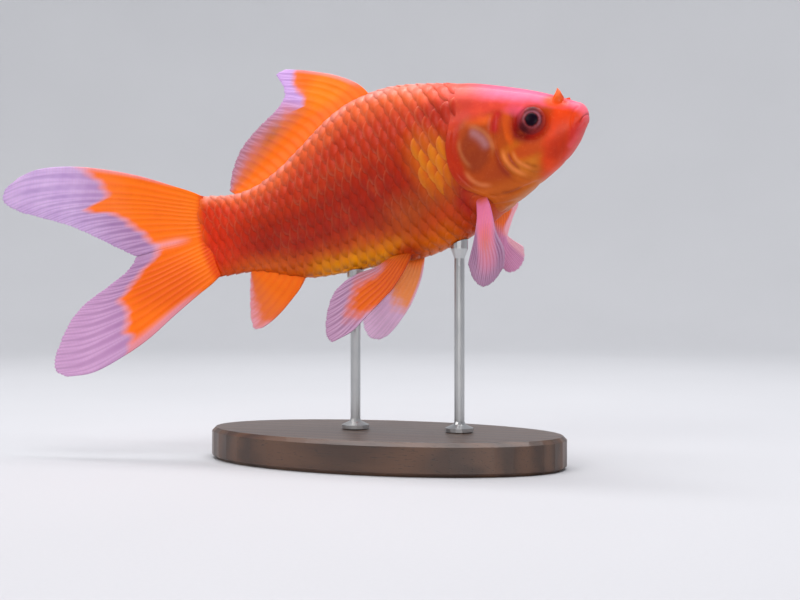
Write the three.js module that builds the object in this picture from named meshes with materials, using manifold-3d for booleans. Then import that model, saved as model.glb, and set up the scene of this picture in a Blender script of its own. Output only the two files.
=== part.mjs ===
// A comet goldfish, life size, as a still museum model on a display stand.
// Millimetres, +Z up. The fish swims towards +X, its right side faces -Y.
// The body is laid out straight first: a station s runs back from the snout, y is to
// the fish's left and z is the height over the body axis. The last step bends the
// backbone, lifts the snout and sets the fish over the middle of the base.
import * as THREE from 'three';
import { mergeVertices } from 'three/addons/utils/BufferGeometryUtils.js';
import Module from 'manifold-3d';

const wasm = await Module();
wasm.setup();

// ---------- driving dimensions ----------
const standardLength = 130;                          // snout to the root of the tail fin
const backboneTurn = THREE.MathUtils.degToRad(20);   // sideways turn from snout to tail root
const levelStation = 55;                             // station where the backbone runs along X
const noseUp = THREE.MathUtils.degToRad(14.7);       // the snout rises by this pitch
const fishX = 12;                                    // place of the level station over the base
const fishY = 2;
const fishZ = 92;
const gap = 0.3;                                     // clear cut between neighbouring pieces

const noseDepth = 1.6;                               // stations over which the snout rounds off
const noseHeight = 0.8;                              // height of the foremost point
const ringSides = 26;                                // facets round the body
const headStep = 3.4;                                // station step along the head
const trunkStep = 5.2;                               // station step behind the head

// station, height
const backLine = smoothLine([
  [0, 4.2], [3.3, 5.7], [9, 9.3], [17, 13.7], [32, 20.6], [45, 25], [57, 28], [66, 28.3],
  [74, 27.1], [82, 24], [93, 17.7], [104, 12.1], [112, 10], [119, 9.9], [130, 12.9],
]);
const bellyLine = smoothLine([
  [0, -1.7], [2.3, -3.9], [5.1, -7.1], [10, -10.8], [19.5, -15.2], [28, -18.8], [40, -23.6],
  [52, -26.2], [61, -27.1], [75, -25.9], [90, -24.8], [100, -23.4], [108, -20.4],
  [115, -17.4], [121, -16.3], [130, -16],
]);
// station, half width
const sideLine = smoothLine([
  [0, 2.7], [4, 4.7], [8, 6.4], [14, 8.4], [20, 9.9], [30, 11.4], [42, 12.4], [54, 12.9],
  [66, 12.5], [80, 10.8], [95, 8.2], [108, 6], [118, 4.5], [125, 3.3], [130, 1.7],
]);
const headRoundness = 0.84;                          // below 1 the section is fuller than an ellipse
const trunkRoundness = 0.96;
const widestLevel = 0.47;                            // share of the depth where the body is widest

const gillLift = 0.6;                                // how far the gill cover stands off the shoulder
const gillLiftStart = 27;
const gillLiftEnd = 42;
const gillThickness = 2.2;
// station, height of the rear edge of the head, from the nape to the throat
const gillEdge = [
  [38.5, 40], [38.4, 14], [40.4, 7.6], [42.6, 1.4], [43, -5.6], [41.2, -11.8], [38, -15.4],
  [36.4, -20], [36, -40],
];
const gillCover = [
  [29, 10.2], [25.6, 7.2], [24.9, 0.5], [25.9, -6], [24.7, -10], [22.2, -12.6], [26, -14.9],
  [31, -16.2], [36.5, -15.8], [46, -13], [50, 0], [46, 9], [38, 11.2],
];
const gillCoverSteps = 32;
const lowerJaw = [[-4, -0.5], [0, -1.1], [6.2, -4], [9, -8.6], [11.6, -15], [6, -20], [-4, -20]];

const eye = { station: 15.5, height: 1.9, side: 6.4, radius: 5, depth: 3.5, sides: 16, rings: 9 };
const nostrilFlap = {
  station: 6.9, height: 6.7, side: 3.5, length: 1.8, thick: 0.75, rise: 2.9, lean: 0.12,
  sides: 10, rings: 5,
};
const stalkStation = 99;                             // the tail stalk starts behind the belly

const base = { length: 116, width: 58, height: 10, edge: 1.2, sides: 24 };
const rod = { radius: 1.6, footRadius: 4.4, footHeight: 2.2, padRadius: 2.7, padHeight: 3, sides: 14 };
const rodStations = { front: 49, rear: 84 };

// ---------- small helpers ----------
function mix(a, b, share) {
  return a + (b - a) * share;
}

function ease(low, high, value) {
  return THREE.MathUtils.smoothstep(value, low, high);
}

// a smooth height over the station, through a few named points
function smoothLine(points) {
  const slope = points.map((point, i) => {
    const before = points[Math.max(i - 1, 0)];
    const after = points[Math.min(i + 1, points.length - 1)];
    return (after[1] - before[1]) / (after[0] - before[0]);
  });
  return (s) => {
    let i = 0;
    while (i < points.length - 2 && s > points[i + 1][0]) i += 1;
    const [s0, h0] = points[i];
    const [s1, h1] = points[i + 1];
    const span = s1 - s0;
    const t = THREE.MathUtils.clamp((s - s0) / span, 0, 1);
    const rise0 = slope[i] * span;
    const rise1 = slope[i + 1] * span;
    const t2 = t * t;
    const t3 = t2 * t;
    const heights = h0 * (2 * t3 - 3 * t2 + 1) + h1 * (3 * t2 - 2 * t3);
    const rises = rise0 * (t3 - 2 * t2 + t) + rise1 * (t3 - t2);
    return heights + rises;
  };
}

// ---------- the straight body ----------
function noseRound(s) {
  return s >= noseDepth ? 1 : Math.sqrt(1 - (1 - s / noseDepth) ** 2);
}

// a point of the skin at station s and angle a from the back; grow moves it outwards
function skinPoint(s, a, grow = 0, lift = 0) {
  const round = noseRound(s);
  const top = mix(noseHeight, backLine(s), round);
  const bottom = mix(noseHeight, bellyLine(s), round);
  const wide = mix(bottom, top, widestLevel);
  const power = mix(headRoundness, trunkRoundness, ease(20, 60, s));
  const across = Math.sign(Math.sin(a)) * Math.abs(Math.sin(a)) ** power;
  const up = Math.sign(Math.cos(a)) * Math.abs(Math.cos(a)) ** power;
  const reach = up > 0 ? top - wide : wide - bottom;
  const raised = lift * ease(gillLiftStart, gillLiftEnd, s) * ease(0.35, 0.75, Math.abs(Math.sin(a)));
  const y = across * (sideLine(s) * round + grow + raised);
  const z = wide + up * (reach + grow);
  return new THREE.Vector3(-s + grow * (1 - round), y, z);
}

function bodyStations(last) {
  const stations = [];
  for (let i = 1; i <= 4; i += 1) {
    stations.push(noseDepth * (1 - Math.cos((i * Math.PI) / 8)));
  }
  for (let s = noseDepth + 1.6; s < 46; s += headStep) stations.push(s);
  for (let s = 48; s < last - 2; s += trunkStep) stations.push(s);
  stations.push(last);
  return stations;
}

// a closed loft through rings of points, with a pole in front and a pole behind
function loft(rings, front, rear) {
  const sides = rings[0].length;
  const points = [front, ...rings.flat(), rear];
  const index = [];
  const at = (ring, side) => 1 + ring * sides + (side % sides);
  const last = points.length - 1;
  for (let k = 0; k < sides; k += 1) {
    index.push(0, at(0, k + 1), at(0, k));
    index.push(last, at(rings.length - 1, k), at(rings.length - 1, k + 1));
    for (let i = 0; i < rings.length - 1; i += 1) {
      index.push(at(i, k), at(i + 1, k + 1), at(i + 1, k));
      index.push(at(i, k), at(i, k + 1), at(i + 1, k + 1));
    }
  }
  return geometryFrom(points, index);
}

function geometryFrom(points, index) {
  const geometry = new THREE.BufferGeometry();
  geometry.setFromPoints(points);
  geometry.setIndex(index);
  return geometry;
}

function bodyLoft(grow, lift) {
  const rings = bodyStations(standardLength + grow).map((s) => {
    const ring = [];
    for (let k = 0; k < ringSides; k += 1) {
      ring.push(skinPoint(s, (2 * Math.PI * k) / ringSides, grow, lift));
    }
    return ring;
  });
  const front = new THREE.Vector3(grow, 0, noseHeight);
  const rear = rings[rings.length - 1].reduce((sum, point) => sum.add(point), new THREE.Vector3());
  return loft(rings, front, rear.divideScalar(ringSides));
}

// ---------- closed solids, joined and cut ----------
function solid(geometry) {
  const bare = geometry.clone();
  bare.deleteAttribute('normal');
  bare.deleteAttribute('uv');
  const merged = mergeVertices(bare, 1e-4);
  const made = new wasm.Manifold(new wasm.Mesh({
    numProp: 3,
    vertProperties: new Float32Array(merged.attributes.position.array),
    triVerts: new Uint32Array(merged.index.array),
  }));
  if (made.volume() <= 0) throw new Error('a solid is inside out');
  return made;
}

function geometryOf(made) {
  const mesh = made.getMesh();
  const geometry = new THREE.BufferGeometry();
  geometry.setAttribute('position', new THREE.BufferAttribute(new Float32Array(mesh.vertProperties), 3));
  geometry.setIndex(new THREE.BufferAttribute(new Uint32Array(mesh.triVerts), 1));
  return geometry;
}

// a prism across the body from an outline of stations and heights, between two side values
function prism(outline, sideFrom, sideTo) {
  const shape = new THREE.Shape(outline.map(([s, z]) => new THREE.Vector2(-s, z)));
  const geometry = new THREE.ExtrudeGeometry(shape, { depth: sideTo - sideFrom, bevelEnabled: false });
  geometry.rotateX(Math.PI / 2);
  geometry.translate(0, sideTo, 0);
  return solid(geometry);
}

// a smooth line through a few points of the side view
function sideCurve(points, closed) {
  const stops = points.map(([s, z]) => new THREE.Vector3(s, z, 0));
  return new THREE.CatmullRomCurve3(stops, closed, 'centripetal');
}

// a smooth closed outline through a few points, moved outwards by the given distance
function closedOutline(points, outwards, steps) {
  const curve = sideCurve(points, true);
  const turn = Math.sign(THREE.ShapeUtils.area(points.map(([s, z]) => new THREE.Vector2(s, z))));
  const outline = [];
  for (let i = 0; i < steps; i += 1) {
    const point = curve.getPointAt(i / steps);
    const along = curve.getTangentAt(i / steps);
    outline.push([point.x + turn * along.y * outwards, point.y - turn * along.x * outwards]);
  }
  return outline;
}

// everything in front of the gill edge, with the edge moved back by the given distance
function aheadOfGill(back) {
  const edge = sideCurve(gillEdge, false).getPoints(20).map((point) => [point.x + back, point.y]);
  return prism([...edge, [-20, -40], [-20, 40]], -40, 40);
}

function slab(from, to) {
  return prism([[from, -60], [to, -60], [to, 60], [from, 60]], -40, 40);
}

function half(side) {
  return side > 0 ? prism([[-20, -60], [220, -60], [220, 60], [-20, 60]], 0, 60)
    : prism([[-20, -60], [220, -60], [220, 60], [-20, 60]], -60, 0);
}

// ---------- head ----------
function eyeball(side, grow) {
  const ball = new THREE.SphereGeometry(1, eye.sides, eye.rings);
  ball.rotateX(Math.PI / 2);
  ball.scale(eye.radius + grow, eye.depth + grow, eye.radius + grow);
  ball.translate(-eye.station, side * eye.side, eye.height);
  return solid(ball);
}

// a soft upright leaf in front of the eye, narrow at its tip
function flap(side, bodyGrown) {
  const profile = [new THREE.Vector2(0, -0.4), new THREE.Vector2(0.9, -0.4)];
  for (let i = 0; i < nostrilFlap.rings; i += 1) {
    const t = i / nostrilFlap.rings;
    profile.push(new THREE.Vector2(Math.sqrt(1 - t * t) * mix(1, 0.72, t), t));
  }
  profile.push(new THREE.Vector2(0, 1));
  const leaf = new THREE.LatheGeometry(profile, nostrilFlap.sides);
  leaf.rotateX(Math.PI / 2);
  leaf.scale(nostrilFlap.length, nostrilFlap.thick, nostrilFlap.rise);
  leaf.rotateY(nostrilFlap.lean);
  leaf.translate(-nostrilFlap.station, side * nostrilFlap.side, nostrilFlap.height);
  return solid(leaf).subtract(bodyGrown);
}

function headPieces(headLoft, bodyGrown) {
  const pieces = {};
  const inner = solid(bodyLoft(-gillThickness, gillLift));
  const innerClear = solid(bodyLoft(-gillThickness - gap, gillLift));
  let head = headLoft.intersect(aheadOfGill(-gap));
  [['left', 1], ['right', -1]].forEach(([name, side]) => {
    const outline = prism(closedOutline(gillCover, 0, gillCoverSteps), -40, 40).intersect(half(side));
    const widerEdge = closedOutline(gillCover, gap, gillCoverSteps);
    const outlineClear = prism(widerEdge, -40, 40).intersect(half(side));
    pieces[`gill_cover_${name}`] = head.intersect(outline).subtract(inner);
    head = head.subtract(outlineClear.subtract(innerClear));
    head = head.subtract(eyeball(side, gap));
    pieces[`eye_${name}`] = eyeball(side, 0);
    pieces[`nostril_flap_${name}`] = flap(side, bodyGrown);
  });
  pieces.lower_jaw = head.intersect(prism(lowerJaw, -40, 40));
  const jawClear = lowerJaw.map(([s, z], i) => (i > 3 ? [s, z] : [s + gap * 0.7, z + gap]));
  jawClear[4] = [lowerJaw[4][0] + gap * 1.1, lowerJaw[4][1]];
  pieces.head = head.subtract(prism(jawClear, -40, 40));
  return pieces;
}

// ---------- fins ----------
function finCurve(points) {
  const stops = points.map(([s, z, y = 0]) => new THREE.Vector3(-s, y, z));
  return new THREE.CatmullRomCurve3(stops, false, 'centripetal');
}

// the middle surface of a fin, spanned between its root, its two edges and its outer margin
function finSurface(fin) {
  const root = finCurve(fin.root);
  const margin = finCurve(fin.margin);
  const lead = finCurve(fin.lead);
  const trail = finCurve(fin.trail);
  return (u, v) => {
    const point = lead.getPointAt(u).multiplyScalar(1 - v);
    point.addScaledVector(trail.getPointAt(u), v);
    point.addScaledVector(root.getPointAt(v), 1 - u);
    point.addScaledVector(margin.getPointAt(v), u);
    point.addScaledVector(root.getPointAt(0), -(1 - u) * (1 - v));
    point.addScaledVector(root.getPointAt(1), -(1 - u) * v);
    point.addScaledVector(margin.getPointAt(0), -u * (1 - v));
    point.addScaledVector(margin.getPointAt(1), -u * v);
    point.y += fin.sway ? fin.sway(u, v) : 0;
    return point;
  };
}

// a thin closed plate on both sides of the middle surface
function finPlate(fin) {
  const surface = finSurface(fin);
  const { along, across } = fin;
  const points = [[], []];
  for (let i = 0; i <= along; i += 1) {
    for (let j = 0; j <= across; j += 1) {
      const u = i / along;
      const v = j / across;
      const step = 0.01;
      const du = surface(Math.min(u + step, 1), v).sub(surface(Math.max(u - step, 0), v));
      const dv = surface(u, Math.min(v + step, 1)).sub(surface(u, Math.max(v - step, 0)));
      const normal = du.cross(dv).normalize();
      const thick = mix(fin.rootThick, fin.edgeThick, ease(0, 0.75, u)) / 2;
      const middle = surface(u, v);
      points[0].push(middle.clone().addScaledVector(normal, thick));
      points[1].push(middle.clone().addScaledVector(normal, -thick));
    }
  }
  const count = (along + 1) * (across + 1);
  const at = (i, j, sheet) => sheet * count + i * (across + 1) + j;
  const index = [];
  const quad = (a, b, c, d) => index.push(a, b, c, a, c, d);
  for (let i = 0; i < along; i += 1) {
    for (let j = 0; j < across; j += 1) {
      quad(at(i, j, 0), at(i + 1, j, 0), at(i + 1, j + 1, 0), at(i, j + 1, 0));
      quad(at(i, j, 1), at(i, j + 1, 1), at(i + 1, j + 1, 1), at(i + 1, j, 1));
    }
    quad(at(i, 0, 1), at(i + 1, 0, 1), at(i + 1, 0, 0), at(i, 0, 0));
    quad(at(i, across, 0), at(i + 1, across, 0), at(i + 1, across, 1), at(i, across, 1));
  }
  for (let j = 0; j < across; j += 1) {
    quad(at(0, j, 0), at(0, j + 1, 0), at(0, j + 1, 1), at(0, j, 1));
    quad(at(along, j, 1), at(along, j + 1, 1), at(along, j + 1, 0), at(along, j, 0));
  }
  return solid(geometryFrom(points.flat(), index));
}

const sunk = 1.4;                                    // the fin roots start this far inside the body

// a short high lobe in front, then a hollow margin that falls to the tail
const dorsalFin = {
  root: [65, 72, 79, 86, 93, 100, 108, 116].map((s) => [s, backLine(s) - sunk]),
  lead: [[65, 26.9], [67.4, 31.3], [70.2, 34.2], [75.1, 37.7], [80, 40.3], [85.9, 43], [91.8, 45.2]],
  margin: [[91.8, 45.2], [94.8, 44.2], [93.5, 39.8], [93.8, 35.9], [97, 32.9], [102, 30.2], [106.5, 27.5],
    [112, 23.3], [116.8, 17], [119, 11.6]],
  trail: [[116, 8.6], [117.6, 10.1], [119, 11.6]],
  sway: (u, v) => 0.9 * u * Math.sin(2 + 5 * v) + 0.9 * u,
  rootThick: 2, edgeThick: 0.8, along: 7, across: 15,
};

const tailSway = (u, height) => 1.5 * u * u * Math.sin(height) + 0.5 * Math.sin(3 * u + height);
const tailMiddle = -1.8;

const tailFinUpper = {
  root: [[127.6, 11.6], [128.2, 7], [128.4, 2], [128.4, tailMiddle + gap / 2]],
  lead: [[127.6, 11.6], [131, 14.2], [136.3, 17.5], [146.4, 23.6], [159.6, 29.8], [170.7, 33.6],
    [181, 35.3], [188.5, 34.4]],
  margin: [[188.5, 34.4], [194.6, 31.4], [195.8, 28.2], [191.8, 24], [184.5, 19.8], [175, 14.3],
    [167.5, 8.6], [160.1, 2.5], [154.6, tailMiddle + gap / 2]],
  trail: [[128.4, tailMiddle + gap / 2], [141, tailMiddle + gap / 2], [154.6, tailMiddle + gap / 2]],
  sway: (u, v) => tailSway(u, 2.4 - 2.2 * v),
  rootThick: 2.2, edgeThick: 0.8, along: 12, across: 9,
};

const tailFinLower = {
  root: [[128.4, tailMiddle - gap / 2], [128.4, -6], [128.2, -11], [127.6, -15]],
  lead: [[128.4, tailMiddle - gap / 2], [141, tailMiddle - gap / 2], [154.6, tailMiddle - gap / 2]],
  margin: [[154.6, tailMiddle - gap / 2], [157.6, -5], [165.7, -9], [174.4, -12.6], [180.3, -16.6],
    [185.4, -22.4], [189.2, -28.6], [189.4, -31.8], [186.4, -34.6]],
  trail: [[127.6, -15], [131, -17], [136.3, -19.4], [146.2, -24.3], [156.1, -29.4], [165.5, -32.8],
    [177.1, -35.5], [186.4, -34.6]],
  sway: (u, v) => tailSway(u, 0.2 - 2.2 * v),
  rootThick: 2.2, edgeThick: 0.8, along: 12, across: 9,
};

const analFin = {
  root: [99.8, 104, 108, 112, 116.4].map((s) => [s, bellyLine(s) + sunk]),
  lead: [[99.8, -22], [103.2, -25.9], [106.8, -28.7], [111.1, -31.7], [115.4, -34], [119, -35.3]],
  margin: [[119, -35.3], [121.5, -35], [122, -32], [121.2, -27.6], [119.8, -22.4], [118.2, -17.2]],
  trail: [[116.4, -15.6], [117.2, -16.4], [118.2, -17.2]],
  sway: (u, v) => 0.7 * u * Math.sin(1 + 3 * v),
  rootThick: 1.9, edgeThick: 0.8, along: 7, across: 7,
};

// the paired fins give a third number, the distance from the middle plane
const pelvicFinRight = {
  root: [[63.4, -24.4, 5], [67, -24.2, 5.6], [70.6, -23.8, 6]],
  lead: [[63.4, -24.4, 5], [66.6, -30, 7], [71.2, -34.6, 8.6], [75.2, -37.2, 9.6], [80.8, -40.8, 10.8],
    [86.2, -44.2, 11.8], [90.8, -45.6, 12.4]],
  margin: [[90.8, -45.6, 12.4], [94.4, -46, 12.6], [95.4, -43.2, 12.2], [93.8, -37, 11.2],
    [90.4, -31.4, 10],
    [86.2, -28.6, 9]],
  trail: [[70.6, -23.8, 6], [75.4, -26.2, 7.4], [80.8, -27.2, 8.2], [86.2, -28.6, 9]],
  rootThick: 1.9, edgeThick: 0.8, along: 10, across: 7,
};

const pelvicFinLeft = {
  root: [[61.6, -24.8, 5], [65, -24.6, 5.6], [68.6, -24.4, 6]],
  lead: [[61.6, -24.8, 5], [64.6, -31, 7], [68, -35.5, 8.6], [71.8, -39.8, 9.8], [75.4, -42.8, 10.8],
    [79.2, -45.6, 11.6], [82.4, -47.4, 12.2]],
  margin: [[82.4, -47.4, 12.2], [85.6, -47.8, 12.4], [88.2, -46.2, 12], [88.8, -41.6, 11],
    [87, -35.4, 10],
    [83, -30.8, 9]],
  trail: [[68.6, -24.4, 6], [73, -27, 7.4], [78, -29, 8.4], [83, -30.8, 9]],
  rootThick: 1.9, edgeThick: 0.8, along: 10, across: 7,
};

const pectoralFinRight = {
  root: [[34.9, -14.4, 7.9], [36.8, -14.6, 7.9], [38.6, -14.6, 7.9]],
  lead: [[34.9, -14.4, 7.9], [33.2, -20.4, 11.2], [32.7, -27, 13.4], [31.8, -33, 15], [33.2, -38.4, 16]],
  margin: [[33.2, -38.4, 16], [37.1, -41.7, 16.6], [40.6, -42.4, 16.8], [43, -39.4, 16.4],
    [43.9, -34.6, 15.6]],
  trail: [[38.6, -14.6, 7.9], [39.2, -21.6, 11.6], [40.9, -27.6, 13.8], [43.9, -34.6, 15.6]],
  sway: (u, v) => -1.1 * u * Math.sin(2 + 4.4 * v),
  rootThick: 1.9, edgeThick: 0.8, along: 9, across: 7,
};

const pectoralFinLeft = {
  root: [[34.4, -14.4, 7.9], [36.6, -14.6, 7.9], [38.6, -14.6, 7.9]],
  lead: [[34.4, -14.4, 7.9], [30.7, -16.8, 11.4], [34, -20.6, 13.2], [37.6, -24.8, 14.4],
    [33.3, -31.2, 15.8]],
  margin: [[33.3, -31.2, 15.8], [34.4, -34.8, 17], [37.3, -37.6, 17.6], [40.4, -37.6, 17.8],
    [42.8, -34.2, 17.4]],
  trail: [[38.6, -14.6, 7.9], [40.4, -21, 12], [42.4, -28, 15], [42.8, -34.2, 17.4]],
  sway: (u, v) => 1.1 * u * Math.sin(2 + 4.4 * v),
  rootThick: 1.9, edgeThick: 0.8, along: 9, across: 7,
};

// the right-hand fins lie on the side of -Y
function onRight(fin) {
  const turned = { ...fin };
  ['root', 'lead', 'margin', 'trail'].forEach((edge) => {
    turned[edge] = fin[edge].map(([s, z, y]) => [s, z, -y]);
  });
  return turned;
}

function finPieces(bodyGrown) {
  const fins = {
    dorsal_fin: dorsalFin,
    caudal_fin_upper: tailFinUpper,
    caudal_fin_lower: tailFinLower,
    anal_fin: analFin,
    pelvic_fin_left: pelvicFinLeft,
    pelvic_fin_right: onRight(pelvicFinRight),
    pectoral_fin_left: pectoralFinLeft,
    pectoral_fin_right: onRight(pectoralFinRight),
  };
  const pieces = {};
  for (const [name, fin] of Object.entries(fins)) pieces[name] = finPlate(fin).subtract(bodyGrown);
  return pieces;
}

// ---------- the pose ----------
// the backbone is an arc as far as the tail root and straight behind it
function posePoint(point) {
  const radius = standardLength / backboneTurn;
  const s = Math.min(-point.x, standardLength);
  const past = -point.x - s;
  const heading = (levelStation - s) / radius;
  const x = radius * Math.sin(heading) - past * Math.cos(heading) + point.y * Math.sin(heading);
  const y = radius * (Math.cos(heading) - 1) + past * Math.sin(heading) + point.y * Math.cos(heading);
  const c = Math.cos(noseUp);
  const d = Math.sin(noseUp);
  return new THREE.Vector3(fishX + x * c - point.z * d, fishY + y, fishZ + x * d + point.z * c);
}

function posed(geometry) {
  const place = geometry.attributes.position;
  for (let i = 0; i < place.count; i += 1) {
    const point = posePoint(new THREE.Vector3().fromBufferAttribute(place, i));
    place.setXYZ(i, point.x, point.y, point.z);
  }
  return geometry;
}

// ---------- stand ----------
function standBase() {
  const shape = new THREE.Shape();
  shape.absellipse(0, 0, base.length / 2 - base.edge, base.width / 2 - base.edge, 0, 2 * Math.PI);
  const plate = new THREE.ExtrudeGeometry(shape, {
    depth: base.height - 2 * base.edge,
    curveSegments: base.sides,
    bevelThickness: base.edge,
    bevelSize: base.edge,
    bevelSegments: 1,
  });
  plate.translate(0, 0, base.edge);
  return solid(plate);
}

function standRod(station, bodyPosed) {
  const foot = posePoint(new THREE.Vector3(-station, 0, bellyLine(station)));
  const top = foot.z + 2;
  const bottom = base.height + gap;
  const profile = [
    [0, bottom], [rod.footRadius, bottom], [rod.footRadius, bottom + rod.footHeight * 0.5],
    [rod.radius * 1.2, bottom + rod.footHeight], [rod.radius, bottom + rod.footHeight * 1.4],
    [rod.radius, foot.z - rod.padHeight * 1.6], [rod.padRadius, foot.z - rod.padHeight * 0.6],
    [rod.padRadius, top], [0, top],
  ];
  const turned = new THREE.LatheGeometry(profile.map(([r, z]) => new THREE.Vector2(r, z)), rod.sides);
  turned.rotateX(Math.PI / 2);
  turned.translate(foot.x, foot.y, 0);
  return solid(turned).subtract(bodyPosed);
}

// ---------- finishes ----------
function finish(color, roughness, metalness = 0) {
  return () => new THREE.MeshStandardMaterial({ color, roughness, metalness });
}

const finishes = {
  head: finish(0xd8481f, 0.4),
  lower_jaw: finish(0xd9552a, 0.42),
  gill_cover: finish(0xb8602a, 0.32),
  eye: finish(0x2a2230, 0.08),
  nostril_flap: finish(0xf05a28, 0.5),
  trunk: finish(0xc94a2a, 0.36),
  tail_stalk: finish(0xc8431f, 0.36),
  fin: finish(0xf07a2a, 0.45),
  stand_base: finish(0x1c1a19, 0.42),
  stand_rod: finish(0xb4b6b8, 0.3, 0.9),
};

function finishFor(name) {
  const key = Object.keys(finishes).find((start) => name.startsWith(start)) ?? 'fin';
  return finishes[key]();
}

// ---------- the whole model ----------
function fishPieces() {
  const headLoft = solid(bodyLoft(0, gillLift));
  const plainLoft = solid(bodyLoft(0, 0));
  const bodyGrown = solid(bodyLoft(gap, gillLift));
  const behindHead = plainLoft.subtract(aheadOfGill(0));
  return {
    ...headPieces(headLoft, bodyGrown),
    trunk: behindHead.intersect(slab(0, stalkStation)),
    tail_stalk: behindHead.intersect(slab(stalkStation + gap, 200)),
    ...finPieces(bodyGrown),
  };
}

function standPieces() {
  const bodyPosed = solid(posed(bodyLoft(gap, 0)));
  return {
    stand_base: standBase(),
    stand_rod_front: standRod(rodStations.front, bodyPosed),
    stand_rod_rear: standRod(rodStations.rear, bodyPosed),
  };
}

const model = new THREE.Group();
Object.entries(fishPieces()).forEach(([name, piece]) => {
  const mesh = new THREE.Mesh(posed(geometryOf(piece)), finishFor(name));
  mesh.name = name;
  model.add(mesh);
});
Object.entries(standPieces()).forEach(([name, piece]) => {
  const mesh = new THREE.Mesh(geometryOf(piece), finishFor(name));
  mesh.name = name;
  model.add(mesh);
});

export default model;
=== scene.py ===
import math

import bmesh
import bpy
import numpy as np
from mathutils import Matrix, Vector


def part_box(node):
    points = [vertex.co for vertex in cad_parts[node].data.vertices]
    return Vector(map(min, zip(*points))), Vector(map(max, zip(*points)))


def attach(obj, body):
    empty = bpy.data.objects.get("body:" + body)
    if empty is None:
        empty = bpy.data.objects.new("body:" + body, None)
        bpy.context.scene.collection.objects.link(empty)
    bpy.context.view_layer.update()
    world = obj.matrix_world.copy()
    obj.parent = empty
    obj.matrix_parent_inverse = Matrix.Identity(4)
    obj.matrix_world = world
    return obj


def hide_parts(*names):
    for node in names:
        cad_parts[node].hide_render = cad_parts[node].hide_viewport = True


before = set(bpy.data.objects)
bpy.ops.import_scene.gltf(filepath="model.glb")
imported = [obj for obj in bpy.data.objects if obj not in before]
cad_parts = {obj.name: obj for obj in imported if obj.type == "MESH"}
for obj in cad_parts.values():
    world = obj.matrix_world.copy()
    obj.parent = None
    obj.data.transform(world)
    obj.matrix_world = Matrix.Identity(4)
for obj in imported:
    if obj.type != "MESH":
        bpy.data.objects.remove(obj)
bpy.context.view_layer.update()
print("frame loaded, nodes:", len(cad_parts))

millimetre = 0.001


# small helpers

def mix(a, b, share):
    return a + (b - a) * share


def ease(low, high, value):
    t = np.clip((value - low) / (high - low), 0, 1)
    return t * t * (3 - 2 * t)


# one between two soft borders, and nothing outside them
def between(start, full, fade, end, value):
    return ease(start, full, value) * (1 - ease(fade, end, value))


def hump(distance, width):
    return np.exp(-(distance / width) ** 2)


def smoothLine(points):
    places = np.array([p[0] for p in points], float)
    heights = np.array([p[1] for p in points], float)
    before = np.maximum(np.arange(len(points)) - 1, 0)
    after = np.minimum(np.arange(len(points)) + 1, len(points) - 1)
    slope = (heights[after] - heights[before]) / (places[after] - places[before])

    def at(s):
        i = np.clip(np.searchsorted(places, s) - 1, 0, len(points) - 2)
        span = places[i + 1] - places[i]
        t = np.clip((s - places[i]) / span, 0, 1)
        t2, t3 = t * t, t * t * t
        start, end = heights[i], heights[i + 1]
        return (start * (2 * t3 - 3 * t2 + 1) + slope[i] * span * (t3 - 2 * t2 + t)
                + end * (3 * t2 - 2 * t3) + slope[i + 1] * span * (t3 - t2))
    return at


# a smooth curve through a few points, returned as a function of the share of its length
def throughPoints(points, steps=40):
    p = np.array([tuple(q) + (0.0,) * (3 - len(q)) for q in points], float)
    p = np.vstack([2 * p[0] - p[1], p, 2 * p[-1] - p[-2]])
    made = []
    for i in range(1, len(p) - 2):
        d0, d1, d2 = [max(np.linalg.norm(p[i + k] - p[i + k - 1]) ** 0.5, 1e-4) for k in (0, 1, 2)]
        t1 = ((p[i] - p[i - 1]) / d0 - (p[i + 1] - p[i - 1]) / (d0 + d1) + (p[i + 1] - p[i]) / d1) * d1
        t2 = ((p[i + 1] - p[i]) / d1 - (p[i + 2] - p[i]) / (d1 + d2) + (p[i + 2] - p[i + 1]) / d2) * d1
        w = np.linspace(0, 1, steps, endpoint=False)[:, None]
        made.append(p[i] + t1 * w + (3 * (p[i + 1] - p[i]) - 2 * t1 - t2) * w ** 2
                    + (2 * (p[i] - p[i + 1]) + t1 + t2) * w ** 3)
    line = np.vstack(made + [p[-2:-1]])
    lengths = np.concatenate([[0], np.cumsum(np.linalg.norm(np.diff(line, axis=0), axis=1))])

    def at(share):
        reach = np.asarray(share) * lengths[-1]
        return np.column_stack([np.interp(reach, lengths, line[:, k]) for k in range(3)])
    return at


# signed distance from a curve in side view, and how far along it the nearest place lies
def nearPath(points, s, z, steps=36):
    line = throughPoints(points)(np.linspace(0, 1, steps))[:, :2]
    best = np.full(s.shape, 1e9)
    signed = np.zeros(s.shape)
    share = np.zeros(s.shape)
    for i in range(steps - 1):
        start, step = line[i], line[i + 1] - line[i]
        t = np.clip(((s - start[0]) * step[0] + (z - start[1]) * step[1]) / (step @ step), 0, 1)
        ds, dz = s - start[0] - t * step[0], z - start[1] - t * step[1]
        distance = np.hypot(ds, dz)
        closer = distance < best
        best = np.where(closer, distance, best)
        turn = np.sign(step[0] * dz - step[1] * ds)
        signed = np.where(closer, distance * turn, signed)
        share = np.where(closer, (i + t) / (steps - 1), share)
    return signed, share


# an uneven wave that breaks up straight borders
def ripple(s, z, size=1.0):
    s, z = s / size, z / size
    return (np.sin(1.3 * s + 0.7 * z) + np.sin(2.1 * z - 0.9 * s + 1.7)
            + 0.6 * np.sin(3.7 * s + 2.9 * z + 0.4) + 0.5 * np.sin(5.3 * z - 4.1 * s)) / 3.1


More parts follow.
